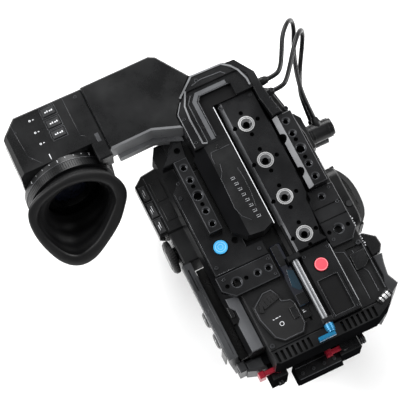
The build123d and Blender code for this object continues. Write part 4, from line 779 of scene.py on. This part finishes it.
glands = Piece("gland_ribs")
for y in (109.5, 98.5):
    for step in range(3):
        glands.ring((29.2 + 1.1 * step, y, 156), (1, 0, 0), 3.55 - 0.22 * step, 2.3, 0.6, 32)
glands.done(RUBBER, bevel=0.1)
heads = (Piece("plug_bands").ring((51.2, 66, 108), (1, 0, 0), 8.5, 8.1, 1.0)
    .ring((53.4, 66, 108), (1, 0, 0), 8.5, 8.1, 1.0).ring((66.5, 66, 108), (1, 0, 0), 8.4, 8.1, 1.6)
    .ring((51.2, 66.5, 89.5), (1, 0, 0), 6.9, 6.5, 1.0))
heads.bar((72, 66, 108), (72.4, 66, 108), 4.2, sides=40)
heads.done(SATIN, bevel=0.15)

grip = Piece("grip_ribs")
for step in range(7):
    y = -14 + 5.6 * step
    grip.box((52.4, y - 0.7, 93), (52.9, y + 0.7, 99))
grip.done(SATIN, "grip", bevel=0.2)
stitch = Piece("strap_stitches")
for z in (102.2, 117.8):
    for step in range(8):
        y = -10 + 3.0 * step
        stitch.box(
            (61.7 - 0.010 * (y - 1) ** 2, y - 0.8, z - 0.25), (62.45 - 0.010 * (y - 1) ** 2, y + 0.8,
            z + 0.25))
stitch.done(SHEEN, "grip", bevel=0.1)
(Piece("strap_anchor").box((50.5, 24, 98), (53.8, 30.5, 122)).box((50.5, -24.5, 98), (53.8, -18.5, 122))
    .done(SATIN, "grip", bevel=0.6))

# ---------------------------------------------------------------- cables
CABLE_R = 1.95
cable_routes = {
    "cable_1": [
        (33, 109.5, 156), (40, 109.5, 156), (46.2, 112.9, 156), (53, 124, 156), (61, 139, 154.5),
        (70.5, 149, 150.5), (77.5, 154, 141), (79, 150.5, 128.5), (74.5, 141.5, 120), (69.5, 129.5, 117),
        (65, 116.5, 117), (62, 103.5, 116.5), (61, 90.5, 114.5), (61, 77, 112.5),
    ],
    "cable_2": [
        (33, 98.5, 156), (39.5, 98.5, 156), (45.5, 101, 156), (54.5, 112, 155.5), (64, 124.5, 154.5),
        (72.5, 134.5, 151), (80, 141.5, 143.5), (83, 142.5, 131.5), (80, 136.5, 120.5), (74, 127, 113),
        (68, 116.5, 109), (62.5, 104.5, 107.5), (60.5, 92, 106.5), (60.7, 80.5, 99.5),
    ],
}
for name, route in cable_routes.items():
    curve = bpy.data.curves.new(name + "_line", "CURVE")
    curve.dimensions = "3D"
    curve.resolution_u = 16
    curve.bevel_depth = CABLE_R * MM
    curve.bevel_resolution = 8
    curve.use_fill_caps = True
    line = curve.splines.new("NURBS")
    line.points.add(len(route) - 1)
    for point, place in zip(line.points, route):
        point.co = (*mm(*place), 1)
    line.order_u = 3
    line.use_endpoint_u = True
    curve.materials.append(CABLE)
    cable = bpy.data.objects.new(name + "_line", curve)
    bpy.context.scene.collection.objects.link(cable)
    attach(cable, "camera")
    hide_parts(name)

# ---------------------------------------------------------------- floor and light
floor_data = bpy.data.meshes.new("floor")
floor_data.from_pydata([(-4, -4, 0), (4, -4, 0), (4, 4, 0), (-4, 4, 0)], [], [(0, 1, 2, 3)])
floor = bpy.data.objects.new("floor", floor_data)
floor.location.z = -0.0005
floor_data.materials.append(finish("floor_paper", (0.95, 0.95, 0.95), 0.9, variation=0.01, bump=0.0))
bpy.context.scene.collection.objects.link(floor)


def soft_light(name, place, target, size, power):
    """A square soft box aimed at a point."""
    data = bpy.data.lights.new(name, "AREA")
    data.shape = "SQUARE"
    data.size = size
    data.energy = power
    light = bpy.data.objects.new(name, data)
    light.location = place
    light.rotation_euler = (Vector(target) - Vector(place)).to_track_quat("-Z", "Y").to_euler()
    bpy.context.scene.collection.objects.link(light)


world = bpy.data.worlds.new("studio")
world.use_nodes = True
world.node_tree.nodes["Background"].inputs["Color"].default_value = (1, 1, 1, 1)
world.node_tree.nodes["Background"].inputs["Strength"].default_value = 0.30
bpy.context.scene.world = world
soft_light("key", (-1.1, 0.5, 1.1), (0, 0.02, 0.1), 0.9, 34)
soft_light("fill", (1.25, -0.15, 1.1), (0, 0, 0.1), 0.9, 27)
soft_light("rim", (0.35, 1.25, 0.9), (0, 0, 0.1), 0.8, 15)
bpy.context.scene.view_settings.view_transform = "Standard"
